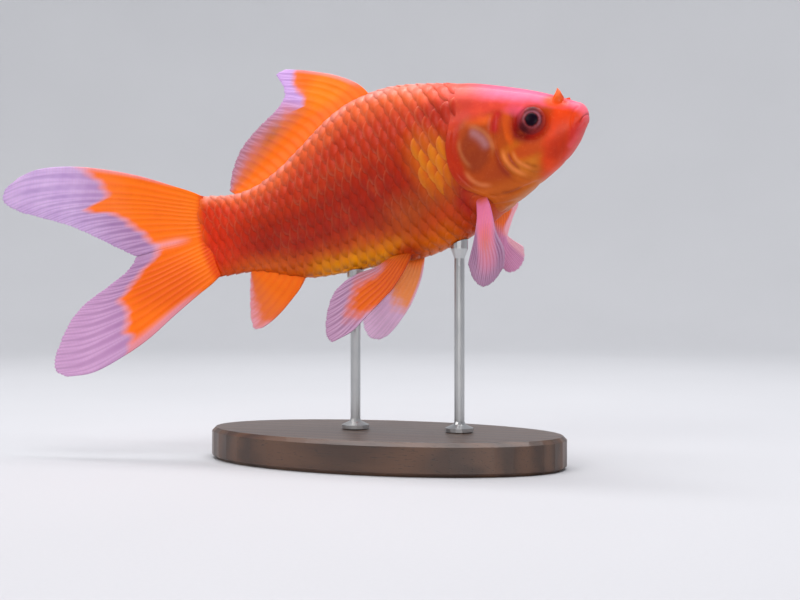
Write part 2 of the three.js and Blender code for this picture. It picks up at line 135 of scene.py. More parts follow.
# the body, laid out straight: station s back from the snout, y to the left, z up, in millimetres
body = {
    "length": 130.0, "turn": math.radians(20), "levelStation": 55.0, "noseUp": math.radians(14.7),
    "noseDepth": 1.6, "noseHeight": 1.1, "headRoundness": 0.84, "trunkRoundness": 0.96, "rounding": (20, 60),
    "widestLevel": 0.47, "gillLift": 0.6, "gillRise": (27, 42), "gillSides": (0.35, 0.75),
    "tailRoot": 131.5, "tailBow": 2.1, "tailLevel": -3.2, "tailHalf": 12.6,
}
backLine = smoothLine([
    (0, 3.5), (2, 4.5), (3.6, 5.6), (9, 9.2), (17, 13.7), (32, 20.6), (45, 25), (57, 28), (66, 28.3),
    (74, 27.1), (82, 24), (93, 17.7), (104, 12.1), (112, 10), (119, 9.9), (130, 12.9)])
bellyLine = smoothLine([
    (0, -1.7), (2.3, -3.9), (5.1, -7.1), (10, -10.8), (19.5, -15.2), (28, -18.8), (40, -23.6),
    (52, -26.2), (61, -27.1), (75, -25.9), (90, -24.8), (100, -23.4), (108, -20.4),
    (115, -17.4), (121, -16.3), (130, -16)])
sideLine = smoothLine([
    (0, 2.7), (4, 4.7), (8, 6.4), (14, 8.4), (20, 9.9), (30, 11.4), (42, 12.4), (54, 12.9),
    (66, 12.5), (80, 10.8), (95, 8.2), (108, 6), (118, 4.2), (124, 2.9), (128, 1.7), (132, 1.0)])
gillEdgeLine = smoothLine([
    (-40, 33), (-20, 33.4), (-16.6, 34.3), (-14.4, 37), (-11.6, 40.6), (-5.6, 43), (1.4, 42.6), (7.6, 40.4),
    (14, 38.4), (40, 38.5)])
eye = {"station": 15.5, "side": 6.4, "height": 1.9, "forward": math.radians(12), "up": math.radians(5)}


# top, widest level, bottom and half width of the body at a station, and how boxy it is there
def sectionAt(s):
    t = np.clip(s / body["noseDepth"], 0, 1)
    nose = np.sqrt(np.maximum(1 - (1 - t) ** 2, 0))
    top = mix(body["noseHeight"], backLine(s), nose)
    bottom = mix(body["noseHeight"], bellyLine(s), nose)
    power = mix(body["headRoundness"], body["trunkRoundness"], ease(*body["rounding"], s))
    return top, mix(bottom, top, body["widestLevel"]), bottom, sideLine(s) * nose, power


def skinPoint(s, a, lift=0.0):
    top, wide, bottom, side, power = sectionAt(s)
    across = np.sign(np.sin(a)) * np.abs(np.sin(a)) ** power
    up = np.sign(np.cos(a)) * np.abs(np.cos(a)) ** power
    raised = lift * ease(*body["gillRise"], s) * ease(*body["gillSides"], np.abs(np.sin(a)))
    y = across * (side + raised)
    z = wide + up * np.where(up > 0, top - wide, wide - bottom)
    return np.column_stack([s, y, z])


# how far out the plain body lies at a place in side view
def skinSide(s, z):
    top, wide, bottom, side, power = sectionAt(s)
    level = np.where(z > wide, (z - wide) / (top - wide), (wide - z) / (wide - bottom))
    turn = np.clip(level, 0, 1) ** (1 / power)
    return side * (1 - turn ** 2) ** (power / 2)


# the border between the body and the tail fin
def tailArc(z):
    return body["tailRoot"] - body["tailBow"] * ((z - body["tailLevel"]) / body["tailHalf"]) ** 2


# how high a place is between the belly and the back
def riseAt(s, z):
    top, bottom = backLine(s), bellyLine(s)
    return np.clip((z - bottom) / np.maximum(top - bottom, 1), 0, 1)


# from the straight layout to the frame, bent and nose up
def posed(straight, place):
    s, y, z = np.asarray(straight, float).T
    radius = body["length"] / body["turn"]
    near = np.minimum(s, body["length"])
    past = s - near
    heading = (body["levelStation"] - near) / radius
    x = radius * np.sin(heading) - past * np.cos(heading) + y * np.sin(heading)
    side = radius * (np.cos(heading) - 1) + past * np.sin(heading) + y * np.cos(heading)
    c, d = math.cos(body["noseUp"]), math.sin(body["noseUp"])
    return place + np.column_stack([x * c - z * d, side, x * d + z * c]) * millimetre


# the fish is set where the CAD's eyes are
def fishPlace():
    place = np.zeros(3)
    for name, side in (("eye_left", 1), ("eye_right", -1)):
        low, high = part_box(name)
        middle = (np.array(low) + np.array(high)) / 2
        ball = np.array([[eye["station"], side * eye["side"], eye["height"]]])
        place += (middle - posed(ball, np.zeros(3))[0]) / 2
    return place


fishAt = fishPlace()
print("fish placed at", np.round(fishAt / millimetre, 2))


# mesh helpers

def coordinates(mesh):
    co = np.empty(len(mesh.vertices) * 3, np.float32)
    mesh.vertices.foreach_get("co", co)
    return co.reshape(-1, 3).astype(float)


def setCoordinates(mesh, points):
    mesh.vertices.foreach_set("co", np.asarray(points, np.float32).ravel())
    mesh.update()


def vertexNormals(mesh):
    normals = np.empty(len(mesh.vertices) * 3, np.float32)
    mesh.vertex_normals.foreach_get("vector", normals)
    return normals.reshape(-1, 3).astype(float)


def setNumbers(mesh, **numbers):
    for name, values in numbers.items():
        layer = mesh.attributes.new(name, "FLOAT", "POINT")
        layer.data.foreach_set("value", np.asarray(values, np.float32))


# the studio's light washes colours out a little, so they are painted this much deeper
wash, deepest = 0.012, 0.001


def setPaint(mesh, paint):
    layer = mesh.attributes.new("paint", "FLOAT_COLOR", "POINT")
    filled = np.column_stack([np.maximum(paint - wash, deepest), np.ones(len(paint))])
    layer.data.foreach_set("color", np.asarray(filled, np.float32).ravel())


def finished(bm, name):
    mesh = bpy.data.meshes.new(name)
    bm.to_mesh(mesh)
    bm.free()
    return mesh


def outwardFaces(mesh):
    bm = bmesh.new()
    bm.from_mesh(mesh)
    bmesh.ops.recalc_face_normals(bm, faces=bm.faces)
    bm.to_mesh(mesh)
    bm.free()


# two grids over each other, joined along their borders
def doubleSheet(name, along, across):
    bm = bmesh.new()
    bmesh.ops.create_grid(bm, x_segments=along, y_segments=across, size=1)
    made = bmesh.ops.extrude_face_region(bm, geom=bm.faces[:])
    for item in made["geom"]:
        if isinstance(item, bmesh.types.BMVert):
            item.co.z += 1
    return finished(bm, name)


# a profile of radius and height, spun round the upright axis
def spun(name, profile, sides):
    bm = bmesh.new()
    verts = [bm.verts.new((r, 0, h)) for r, h in profile]
    edges = [bm.edges.new(pair) for pair in zip(verts, verts[1:])]
    bmesh.ops.spin(bm, geom=verts + edges, cent=(0, 0, 0), axis=(0, 0, 1), angle=2 * math.pi,
                   steps=sides, use_merge=True)
    bmesh.ops.remove_doubles(bm, verts=bm.verts, dist=1e-4)
    bmesh.ops.recalc_face_normals(bm, faces=bm.faces)
    return finished(bm, name)


def show(name, mesh, points, material, replaced=()):
    setCoordinates(mesh, posed(points, fishAt))
    outwardFaces(mesh)
    mesh.shade_smooth()
    mesh.materials.clear()
    mesh.materials.append(material)
    piece = bpy.data.objects.new(name, mesh)
    bpy.context.scene.collection.objects.link(piece)
    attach(piece, "root")
    if replaced:
        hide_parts(*replaced)
    print(name + ":", len(mesh.polygons), "faces")


def linear(colour):
    c = np.array(colour, float) / 255
    return np.where(c <= 0.04045, c / 12.92, ((c + 0.055) / 1.055) ** 2.4)


# materials

class Wire:
    def __init__(self, shader, socket):
        self.shader = shader
        self.socket = socket

    def run(self, operation, *others):
        return self.shader.node("ShaderNodeMath", {"operation": operation}, dict(enumerate((self, *others))))

    def __add__(self, other):
        return self.run("ADD", other)

    def __sub__(self, other):
        return self.run("SUBTRACT", other)

    def __mul__(self, other):
        return self.run("MULTIPLY", other)

    def __rsub__(self, other):
        return self.shader.node("ShaderNodeMath", {"operation": "SUBTRACT"}, {0: other, 1: self})

    __radd__ = __add__
    __rmul__ = __mul__

    def clamped(self, low, high):
        return self.shader.node("ShaderNodeMapRange", {"interpolation_type": "SMOOTHSTEP"},
                                {"Value": self, "From Min": low, "From Max": high})


class Shader:
    def __init__(self, name, constants):
        self.material = bpy.data.materials.new(name)
        self.material.use_nodes = True
        self.tree = self.material.node_tree
        self.tree.nodes.clear()
        self.surface = self.tree.nodes.new("ShaderNodeBsdfPrincipled")
        for socket, value in constants.items():
            self.surface.inputs[socket].default_value = value
        output = self.tree.nodes.new("ShaderNodeOutputMaterial")
        self.tree.links.new(self.surface.outputs[0], output.inputs["Surface"])

    def node(self, kind, settings, sockets, output=0):
        made = self.tree.nodes.new(kind)
        for setting, value in settings.items():
            setattr(made, setting, value)
        for socket, value in sockets.items():
            if isinstance(value, Wire):
                self.tree.links.new(value.socket, made.inputs[socket])
            else:
                made.inputs[socket].default_value = value
        return Wire(self, made.outputs[output])

    def place(self):
        return self.node("ShaderNodeTexCoord", {}, {}, "Object")

    def stretched(self, place, scale):
        return self.node("ShaderNodeMapping", {}, {"Vector": place, "Scale": scale})

    def attribute(self, name, output="Fac"):
        return self.node("ShaderNodeAttribute", {"attribute_name": name}, {}, output)

    def numbers(self, *names):
        return [self.attribute(name) for name in names]

    def noise(self, place, scale, detail=2.0, roughness=0.5):
        return self.node("ShaderNodeTexNoise", {}, {"Vector": place, "Scale": scale, "Detail": detail,
                                                    "Roughness": roughness}, "Fac")

    def blend(self, share, first, second):
        return self.node("ShaderNodeMix", {"data_type": "RGBA"}, {0: share, 6: first, 7: second}, 2)

    def bump(self, height, strength, distance):
        return self.node("ShaderNodeBump", {}, {"Height": height, "Strength": strength, "Distance": distance})

    def feed(self, **links):
        names = {"colour": "Base Color", "roughness": "Roughness", "coat": "Coat Weight", "alpha": "Alpha",
                 "normal": "Normal"}
        for key, wire in links.items():
            self.tree.links.new(wire.socket, self.surface.inputs[names[key]])
        return self.material


def rgba(colour):
    return (*linear(colour), 1.0)


# colours of the living fish, with painted shade and highlights among them
colours = {
    "flank": (202, 62, 38), "flankDarkAndShade": (164, 42, 18), "flankLow": (202, 84, 14),
    "flankBrown": (168, 80, 20), "bellyGold": (255, 160, 18), "bellyOchre": (224, 106, 14),
    "stalkOchre": (226, 102, 26),
    "stalkRed": (222, 56, 32), "tailRoot": (252, 106, 16), "backOrange": (250, 118, 66),
    "backPinkHighlight": (255, 168, 156), "goldScale": (226, 128, 16), "goldDeep": (206, 96, 20),
    "breast": (196, 68, 24), "axil": (160, 30, 26), "shoulder": (168, 44, 28),
    "snout": (234, 70, 24), "snoutTipHighlight": (250, 120, 140), "crown": (246, 94, 80), "crownPinkHighlight": (252, 108, 150),
    "temple": (216, 68, 52), "templeRed": (190, 40, 38), "band": (212, 86, 8), "browPink": (242, 92, 124),
    "cheekDark": (196, 54, 22), "cheekGold": (214, 122, 40), "cheekOrange": (198, 76, 8),
    "cheekGap": (150, 50, 8), "crescent": (230, 130, 66), "peach": (222, 126, 76), "gillRed": (186, 52, 30),
    "opercle": (178, 72, 24), "opercleBlueSheen": (176, 120, 122), "opercleBrown": (142, 58, 36),
    "opercleRim": (200, 120, 76), "opercleOrange": (226, 92, 36),
    "lid": (156, 32, 30), "lidShade": (96, 14, 24),
    "throat": (200, 96, 34), "throatGold": (206, 116, 36), "throatDark": (150, 64, 18),
    "chinPink": (226, 84, 84), "lipPink": (238, 92, 100), "jawRed": (206, 44, 44), "mouthCleftShade": (130, 24, 20),
    "flapOrange": (242, 80, 28), "flapTip": (254, 112, 48),
}


# lays colours over the paint one after another, each by its own mask
def layered(paint, steps, palette=colours):
    for name, mask in steps:
        share = np.clip(mask + np.zeros(len(paint)), 0, 1)
        paint = mix(paint, linear(palette[name]), share[:, None])
    return paint


# a soft rounded patch, turned in side view
def patch(s, z, centre, radii, turned=0.0, soft=0.35):
    c, d = math.cos(math.radians(turned)), math.sin(math.radians(turned))
    ds, dz = s - centre[0], z - centre[1]
    u, v = (ds * c + dz * d) / radii[0], (dz * c - ds * d) / radii[1]
    return 1 - ease(1 - soft, 1 + soft, np.hypot(u, v) + 0.08 * ripple(s, z, 1.4))


# the markings of body and head, with painted shade and highlights laid in, the same for the skin and the scales
# over it
def markings(s, y, z, rise):
    level = rise + 0.03 * ripple(s, z, 3.0)
    low = 1 - ease(0.03, 0.16, level)
    paint = layered(np.zeros((len(s), 3)), [
        ("flank", 1),
        # darker band down the middle of the flank: partly the fish's deep red, partly painted shade where the
        # flank turns away from the light above
        ("flankDarkAndShade", between(0.06, 0.26, 0.42, 0.78, level) * 0.9),
        ("flankLow", 1 - ease(0.08, 0.28, level)),
        ("flankBrown", patch(s, z, (53, -14.5), (14, 6.5), 0, 0.8) * 0.6),
        ("stalkOchre", (1 - ease(0.04, 0.22, level)) * between(92, 104, 116, 123, s) * 0.8),
        ("bellyGold", low * between(60, 70, 90, 103, s)),
        ("backOrange", ease(0.74, 0.95, level) * 0.8),
        # pink along the top of the back: painted highlight of the light from above
        ("backPinkHighlight", ease(0.9, 1.0, level) * 0.85),
        ("stalkRed", ease(108, 129, s) * between(-0.1, 0.24, 0.8, 0.97, level)),
        ("goldDeep", patch(s, z, (48.2, -1.0), (6.8, 10.5), -14, 0.5) * 0.85),
        ("breast", patch(s, z, (45, -20), (12, 6), 0, 0.5)),
        ("bellyOchre", low * between(44, 50, 60, 66, s)),
        ("axil", patch(s, z, (41.4, -15.5), (1.8, 5), 8, 0.6) * 0.9),
        ("axil", patch(s, z, (65.4, -25), (5.2, 2.6), 0, 0.6) * 0.8),
        ("tailRoot", ease(-2.2, 0.4, s - tailArc(z))),
    ])
    return headMarkings(paint, s, y, z)


# the head's markings, with painted shade and highlights among them
def headMarkings(paint, s, y, z):
    edge = gillEdgeLine(z)
    wave = ripple(s, z, 2.2)
    onHead = mix(1 - ease(-0.1, 0.1, s - edge), 1 - ease(34, 54, s + 2 * wave), ease(6, 10, z))
    strokes = []
    for name, path, reach, strength in headStrokes:
        distance, share = nearPath(path, s, z)
        ends = 1 if name == "lipPink" else between(0, 0.25, 0.75, 1, share)
        strokes.append((name, hump(distance, reach) * ends * strength))
    mouth, share = nearPath(headLines["mouth"][0], s, z)
    orbit = np.hypot(s - 16.1, (z - 1.1) * 1.05)
    head = layered(np.zeros((len(s), 3)), [
        ("opercle", 1),
        ("throat", 1 - ease(-15, -10.5, z)),
        ("throatGold", patch(s, z, (21, -17.6), (9, 1.9), -16, 0.6)),
        ("cheekGold", patch(s, z, (20.5, -8), (5.5, 5), 20, 0.5) * 0.9),
        ("cheekOrange", patch(s, z, (16.5, -5.2), (9, 2.6), -14, 0.5)),
        ("snout", 1 - ease(8.5, 13.5, s + 0.45 * z + 0.5 * wave)),
        ("cheekDark", patch(s, z, (9.8, -7.4), (4.6, 2.8), -50, 0.7) * 0.9),
        ("jawRed", patch(s, z, (4.2, -4.2), (1.5, 3.6), 34, 0.6) * 0.8),
        ("band", patch(s, z, (22.3, 2.2), (1.5, 5.6), 4, 0.35)),
        ("opercleOrange", patch(s, z, (30.2, 6.6), (3.8, 1.5), 10, 0.7) * 0.9),
        ("gillRed", ease(-5.6, -3.4, s - edge + 0.5 * wave) * ease(-13, -8, z)),
        ("temple", ease(5.0, 8.6, z - 0.1 * (s - 20) + 0.7 * wave)),
        ("crown", ease(7.4, 11.4, z - 0.3 * (s - 14) + 0.6 * wave)),
        # pink over the top of the head: painted highlight of the light from above
        ("crownPinkHighlight", ease(5.4, 9.2, z - 0.42 * (s - 13.5) + 0.5 * wave) * (1 - ease(22, 36, s)) * 0.9),
        ("opercleBrown", patch(s, z, (33.5, -1.6), (4.6, 6.6), 15, 0.25) * 0.8),
        ("flapOrange", patch(s, z, (7.6, 6.1), (3.5, 2.0), 25, 0.5)),
        *strokes,
        # dark maroon round the eye, heaviest behind and below it: partly the skin's own colour, partly painted
        # shade of the hollow round the eye
        ("lid", (1 - ease(3.8, 7.4, orbit)) * 0.92),
        ("browPink", patch(s, z, (18.6, 6.4), (3.2, 1.7), 20, 0.8) * 0.62),
        ("lidShade", patch(s, z, (18.6, -0.4), (2.6, 2.6), 0, 0.8) * 0.85),
        ("chinPink", hump(y, 3.2) * (1 - ease(8, 13, s)) * (1 - ease(-3, -1.5, z)) * 0.8),
        # pink on the upper front of the snout tip: painted highlight
        ("snoutTipHighlight", (1 - ease(1.0, 4.6, s + 0.5 * np.abs(z - 3.5))) * 0.8),
        # dark line along the mouth: painted shade in its cleft
        ("mouthCleftShade", hump(mouth, 0.2) * (1 - ease(0.8, 0.98, share)) * 0.4),
    ])
    return layered(mix(paint, head, onHead[:, None]),
                   [("shoulder", patch(s, z, (41.4, 13.2), (8, 3.6), 0, 0.8) * 0.8)])


# lines of the head in side view: their path, the forms beside them as offset, height and width, and where
# the forms start and end along the path
headLines = {
    "mouth": ([(-1, 0.6), (0, 0.1), (0.9, -0.6), (1.8, -1.5), (2.6, -2.6)],
              [(0, -0.3, 0.16), (0.6, 0.06, 0.4), (-0.6, 0.06, 0.4)], (-1, 0, 0.8, 0.99)),
    "lipFold": ([(1.2, 3.0), (2.7, 1.9), (3.9, 0.0), (4.6, -2.4), (4.7, -4.6)],
                [(0, -0.16, 0.4)], (0, 0.15, 0.85, 1)),
    "lowerLip": ([(0.0, -1.5), (1.4, -2.5), (2.8, -3.6), (4.0, -4.2)], [(0, -0.2, 0.3)], (0, 0.15, 0.85, 1)),
    "chin": ([(6.9, -5.2), (8.6, -8.0), (10.6, -10.6), (12, -12.6)], [(0, -0.2, 0.5)], (0, 0.3, 0.7, 1)),
    "preopercle": ([(24.8, 7.2), (26.4, 3.4), (27.0, -0.6), (26.9, -5.2), (26.0, -9.2), (23.8, -12.6),
                    (20.2, -14.8)], [(0, -0.3, 0.34), (0.9, 0.22, 0.7)], (0, 0.12, 0.86, 1)),
    "inner": ([(24.0, -3.6), (23.7, -7.4), (22.0, -10.4), (19.4, -12.6), (16.6, -13.6)],
              [(0, -0.22, 0.34), (-0.8, 0.1, 0.6)], (0, 0.2, 0.8, 1)),
    "subopercle": ([(27.8, -12.2), (31.5, -13.9), (35.6, -13.0), (38.8, -10.2), (41.2, -6.0)],
                   [(0, -0.16, 0.4)], (0, 0.15, 0.85, 1)),
    "throat": ([(35.6, -15.2), (31, -16.4), (27, -16.4), (22.4, -15.6), (18, -14.8)],
               [(0, -0.34, 0.36)], (0, 0.15, 0.85, 1)),
    "throatLow": ([(35.5, -18.4), (30, -18.8), (25, -18.2)], [(0, -0.26, 0.36)], (0, 0.15, 0.85, 1)),
}

# painted strokes of the head: colour, path, half width, strength
headStrokes = [
    # blue-grey on the upper front of the gill cover: partly its own silvery patch, partly painted highlight
    ("opercleBlueSheen", [(34.8, 4.4), (33.2, 3.6), (30.9, 0.9), (29.4, -3.2)], 1.35, 0.85),
    ("opercleRim", [(35.2, 5.6), (33.4, 5.7), (29.6, 2.6), (28.2, -2.2), (29.2, -6.2)], 0.7, 0.6),
    ("opercleRim", [(37.2, 3.6), (38.1, 0.4), (37.6, -3.6), (35.6, -7.2)], 0.6, 0.45),
    ("templeRed", [(23.2, 8.6), (25.6, 5.0), (27.0, 0.6)], 1.5, 1.0),
    ("cheekGap", [(27.2, -1.6), (27.7, -6.0), (27.0, -9.8), (24.6, -13.2)], 1.0, 0.8),
    ("cheekGap", [(24.2, -4.6), (23.9, -8.0), (22.0, -11.6)], 0.55, 0.8),
    ("cheekGap", [(20.6, -9.0), (19.2, -10.4), (17, -11.4)], 0.5, 0.5),
    ("crescent", [(25.6, -3.0), (25.6, -6.7), (24.4, -9.8), (20.6, -13.6)], 0.68, 1.0),
    ("crescent", [(22.8, -4.4), (22.3, -8.2), (18.6, -12.0)], 0.62, 0.8),
    ("peach", [(38.5, -6.2), (37.3, -9.6), (35.1, -11.9), (31.0, -13.3)], 0.7, 0.7),
    ("throatDark", [(30.6, -15.4), (27.6, -16.2), (23.4, -15.5)], 0.6, 0.6),
    ("lipPink", [(-0.6, 1.6), (0.5, -0.6), (1.9, -2.9), (4.4, -5.9), (7, -8)], 0.7, 0.75),
]


# the gill border is open on the side of the fish and closes towards the nape
def besideGill(y, z):
    return (1 - ease(4.5, 9.5, z)) * ease(0.8, 2.6, np.abs(y))


# swells and hollows of the head: where they lie or start and end, how far they reach, how high or deep they are
headForms = {
    "opercle": (33.5, 1.5, 5.0, 0.3), "gillGroove": (2.4, 0.5, 0.1), "gillRim": (-1.6, 0, 0.3),
    "nostril": (4.9, 3.4, 0.5, 0.4), "nostrilTop": (3.0, 4.4), "socket": (4.3, 5.1, 1.5), "lid": (6.0, 7.4),
}


# how far the head's forms stand off the plain body, in millimetres
def headRelief(s, y, z, edge):
    side = ease(0.2, 1.2, np.abs(y))
    station, low, reach, high = headForms["opercle"]
    form = high * hump(np.hypot(s - station, (z + low) * 0.8), reach) * side
    for name, (path, forms, fades) in headLines.items():
        distance, share = nearPath(path, s, z)
        raised = sum(height * hump(distance - offset, width) for offset, height, width in forms)
        form += raised * between(*fades, share) * (side if name == "chin" else 1)
    back, reach, deep = headForms["gillGroove"]
    start, end, fall = headForms["gillRim"]
    border = -deep * hump(s - edge + back, reach) - fall * ease(start, end, s - edge)
    form += border * (1 - ease(3, 8, z))
    station, out, reach, deep = headForms["nostril"]
    form -= ease(*headForms["nostrilTop"], z) * deep * hump(np.hypot(s - station, np.abs(y) - out), reach)
    orbit = np.hypot(s - eye["station"], z - eye["height"])
    rim = np.abs(y) > 3
    form = mix(form, 0, (1 - ease(*headForms["lid"], orbit)) * rim)
    start, end, deep = headForms["socket"]
    return form - rim * deep * (1 - ease(start, end, orbit))


# skin
skin = {
    "around": 224, "noseRings": 16, "headStart": 0.3, "headEnd": 42.75, "headStep": 0.3,
    "edgeRings": [42.84, 42.92, 42.98, 43.04, 43.12, 43.26], "edgeStation": 43.0, "edgeStep": (42.97, 43.05),
    "trunkStart": 43.9, "trunkEnd": 127.6, "trunkStep": 0.97,
    "rearRings": [128.2, 128.9, 129.6, 130.2, 130.7, 131.1, 131.35, 131.5], "narrowFrom": 130.5,
    "narrowOver": 1.02, "rearHeight": -3, "warpFrom": 22.0, "warpTo": 64.0, "tailWarpFrom": 118,
    "nape": (33, 46), "headInset": 0.12, "scaleInset": 0.55, "gillShadow": 0.5, "shadowEnd": 44.6,
    "fineSnout": (8.2, 3.6), "fineLid": (3.6, 7), "fineSide": 3,
    # station, how far below the snout, reach, height
    "pelvis": (65.5, 25, 3.2, 0.5), "vent": (98.6, 0, 1.6, 0.4), "ventWidth": 0.8, "reliefEnd": (20, 30),
}


def ringStations():
    depth, count = body["noseDepth"], skin["noseRings"]
    nose = [depth * (1 - math.cos(math.pi / 2 * i / count)) for i in range(1, count + 1)]
    head = list(np.arange(depth + skin["headStart"], skin["headEnd"], skin["headStep"]))
    trunk = list(np.arange(skin["trunkStart"], skin["trunkEnd"], skin["trunkStep"]))
    return np.array(nose + head + skin["edgeRings"] + trunk + skin["rearRings"])


# rings slide back and forth so that one of them follows the rear edge of the gill cover
def warped(s, a):
    share = between(skin["warpFrom"], skin["edgeStation"], skin["edgeStation"], skin["warpTo"], s)
    moved = s
    for _ in range(4):
        z = skinPoint(moved, a)[:, 2]
        moved = s + (gillEdgeLine(z) - skin["edgeStation"]) * share
    z = skinPoint(moved, a)[:, 2]
    return moved + (tailArc(z) - body["tailRoot"]) * ease(skin["tailWarpFrom"], body["tailRoot"], s)


def ringMesh(stations):
    bm = bmesh.new()
    bmesh.ops.create_uvsphere(bm, u_segments=skin["around"], v_segments=len(stations) + 1, radius=1)
    reach = np.concatenate([[0], stations, [stations[-1]]])
    for vert in bm.verts:
        ring = round(math.acos(max(-1, min(1, vert.co.z))) * (len(stations) + 1) / math.pi)
        across = max(math.hypot(vert.co.x, vert.co.y), 1e-9)
        inside = 1 if 0 < ring <= len(stations) else 0
        vert.co = (reach[ring], inside * vert.co.x / across, inside * vert.co.y / across)
    laid = np.array([vert.co for vert in bm.verts])
    s, y, z = skinPoint(laid[:, 0], np.arctan2(laid[:, 2], laid[:, 1])).T
    orbit = np.hypot(s - eye["station"], z - eye["height"])
    snout = (s < skin["fineSnout"][0]) & (z < skin["fineSnout"][1])
    inner, outer = skin["fineLid"]
    fine = snout | ((orbit > inner) & (orbit < outer) & (np.abs(y) > skin["fineSide"]))
    bm.verts.ensure_lookup_table()
    bm.verts.index_update()
    edges = [edge for edge in bm.edges if fine[edge.verts[0].index] and fine[edge.verts[1].index]]
    bmesh.ops.subdivide_edges(bm, edges=edges, cuts=1, use_grid_fill=True)
    return finished(bm, "skin")


def makeSkin(material):
    stations = ringStations()
    mesh = ringMesh(stations)
    laid = coordinates(mesh)
    ring, angle = laid[:, 0], np.arctan2(laid[:, 2], laid[:, 1])
    s = warped(ring, angle)
    plain = skinPoint(s, angle, body["gillLift"])
    flat = skinPoint(s, angle)
    onSide = besideGill(plain[:, 1], plain[:, 2])
    behind = ease(*skin["edgeStep"], ring)
    covered = mix(ease(*skin["nape"], ring), behind, onSide)
    points = mix(plain, flat, covered[:, None])
    past = np.maximum(ring - skin["narrowFrom"], 0) / skin["narrowOver"]
    points[:, 1] *= np.sqrt(np.clip(1 - past ** 2, 0, 1))
    poles = np.hypot(laid[:, 1], laid[:, 2]) < 0.01
    points[poles & (ring < 1)] = (0, 0, body["noseHeight"])
    points[poles & (ring > 1)] = (stations[-1], 0, skin["rearHeight"])
    setCoordinates(mesh, points)
    outwardFaces(mesh)
    normals = vertexNormals(mesh)

    s, y, z = points.T
    inset = -mix(skin["headInset"], skin["scaleInset"], covered)
    shade = -skin["gillShadow"] * onSide * behind * (1 - ease(skin["edgeStep"][1], skin["shadowEnd"], ring))
    form = headRelief(s, y, z, gillEdgeLine(z)) * mix(1 - covered, 1, 1 - ease(*skin["reliefEnd"], s))
    station, low, reach, high = skin["pelvis"]
    pelvis = high * hump(np.hypot(s - station, z + low), reach)
    station, low, reach, high = skin["vent"]
    vent = high * hump(np.hypot(s - station, y * skin["ventWidth"]), reach) * (z < low)
    points = points + normals * (inset + shade + form + pelvis + vent)[:, None]
    setPaint(mesh, markings(s, y, z, riseAt(s, z)))
    show("skin", mesh, points, material,
         ("head", "lower_jaw", "gill_cover_left", "gill_cover_right", "trunk", "tail_stalk"))


def fleshColour(shader, cloud, grain):
    paint = shader.attribute("paint", "Color")
    darker = shader.blend(cloud.clamped(0.3, 0.75) * 0.2, paint, rgba((120, 26, 12)))
    lighter = shader.blend((1 - cloud).clamped(0.5, 0.85) * 0.12, darker, rgba((255, 130, 50)))
    return shader.blend(grain.clamped(0.56, 0.8) * 0.1, lighter, rgba((255, 160, 100)))


def skinMaterial():
    shader = Shader("living skin", {"Specular IOR Level": 0.16, "Coat Roughness": 0.14, "Coat IOR": 1.36})
    place = shader.place()
    cloud = shader.noise(place, 160, 4, 0.6)
    grain = shader.noise(place, 1400, 3, 0.6)
    freckled = fleshColour(shader, cloud, grain)
    height = grain * 0.6 + cloud * 0.8
    return shader.feed(colour=freckled, roughness=0.3 + 0.2 * grain, coat=0.02 + 0.2 * cloud,
                       normal=shader.bump(height, 0.3, 0.00014))


# scales
scales = {
    "spacing": 3.22, "stalkSpacing": 2.95, "row": 4.5, "stalkRow": 3.65, "rows": range(-8, 12), "length": 7.6,
    "rounding": 3.7, "thick": 0.11, "root": -0.34, "tip": 0.42, "columns": 10, "steps": 3, "patch": 0.003,
    "first": 36.0, "collar": 36.4, "napeFront": 37.6, "napeWave": 1.3, "napeHeight": 8, "border": 0.8,
    "midline": 4.3, "stalkMidline": 3.2, "cluster": ((48.2, -1.0), (5.6, 9.0), -14, 0.3),
    "stalkFrom": 70, "rowsShrunk": 115, "shrunk": 118, "stalkSize": 0.85, "laid": (121, 131), "bow": 0.05,
    "laidTip": 0.04, "napeSink": 0.5, "napeDrop": 0.06, "napeReach": (1, 9),
    # how much tone, place and angle vary from scale to scale
    "varied": (1, 0.2, 0.05),
}
lateralLine = smoothLine([(38, 9), (50, 4.5), (65, 1), (85, -1.5), (110, -2.5), (131, -2)])


# arc lengths down each side of the body, from the back to the belly
girthStep = 0.5


def girthTable():
    stations = np.arange(28, 136, girthStep)
    angles = np.linspace(0, math.pi, 181)
    shares = np.linspace(0, 1, 161)
    totals, table = [], []
    for s in stations:
        ring = skinPoint(np.full(angles.shape, s), angles)
        arc = np.concatenate([[0], np.cumsum(np.hypot(np.diff(ring[:, 1]), np.diff(ring[:, 2])))])
        totals.append(arc[-1])
        table.append(np.interp(shares, arc / arc[-1], angles))
    return stations, np.array(totals), np.array(table)


girthStations, girthTotals, girthAngles = girthTable()


def halfGirth(s):
    return np.interp(s, girthStations, girthTotals)


# the angle from the back for an arc length down the side, on either side of the midline
def angleAt(s, down):
    share = down / halfGirth(s)
    turn = np.sign(share) * np.where(np.abs(share) > 1, -1, 1)
    share = np.abs(share)
    share = np.where(share > 1, 2 - share, share)
    i = np.clip((s - girthStations[0]) / girthStep, 0, len(girthStations) - 1.001)
    j = np.clip(share, 0, 1) * (girthAngles.shape[1] - 1)
    j = np.clip(j, 0, girthAngles.shape[1] - 1.001)
    i0, j0 = i.astype(int), j.astype(int)
    fi, fj = i - i0, j - j0
    low = mix(girthAngles[i0, j0], girthAngles[i0, j0 + 1], fj)
    high = mix(girthAngles[i0 + 1, j0], girthAngles[i0 + 1, j0 + 1], fj)
    return mix(low, high, fi) * turn


def lateralArc(s):
    angles = np.linspace(0.02, math.pi - 0.02, 200)
    found = []
    for station in np.atleast_1d(s):
        z = skinPoint(np.full(angles.shape, station), angles)[:, 2]
        angle = np.interp(-lateralLine(station), -z, angles)
        i = int(np.clip((station - girthStations[0]) / girthStep, 0, len(girthStations) - 1))
        row = girthAngles[i]
        found.append(np.interp(angle, row, np.linspace(0, 1, len(row))) * halfGirth(station))
    return np.array(found)


lateralStations = np.arange(30, 134, 2.0)
lateralArcs = lateralArc(lateralStations)


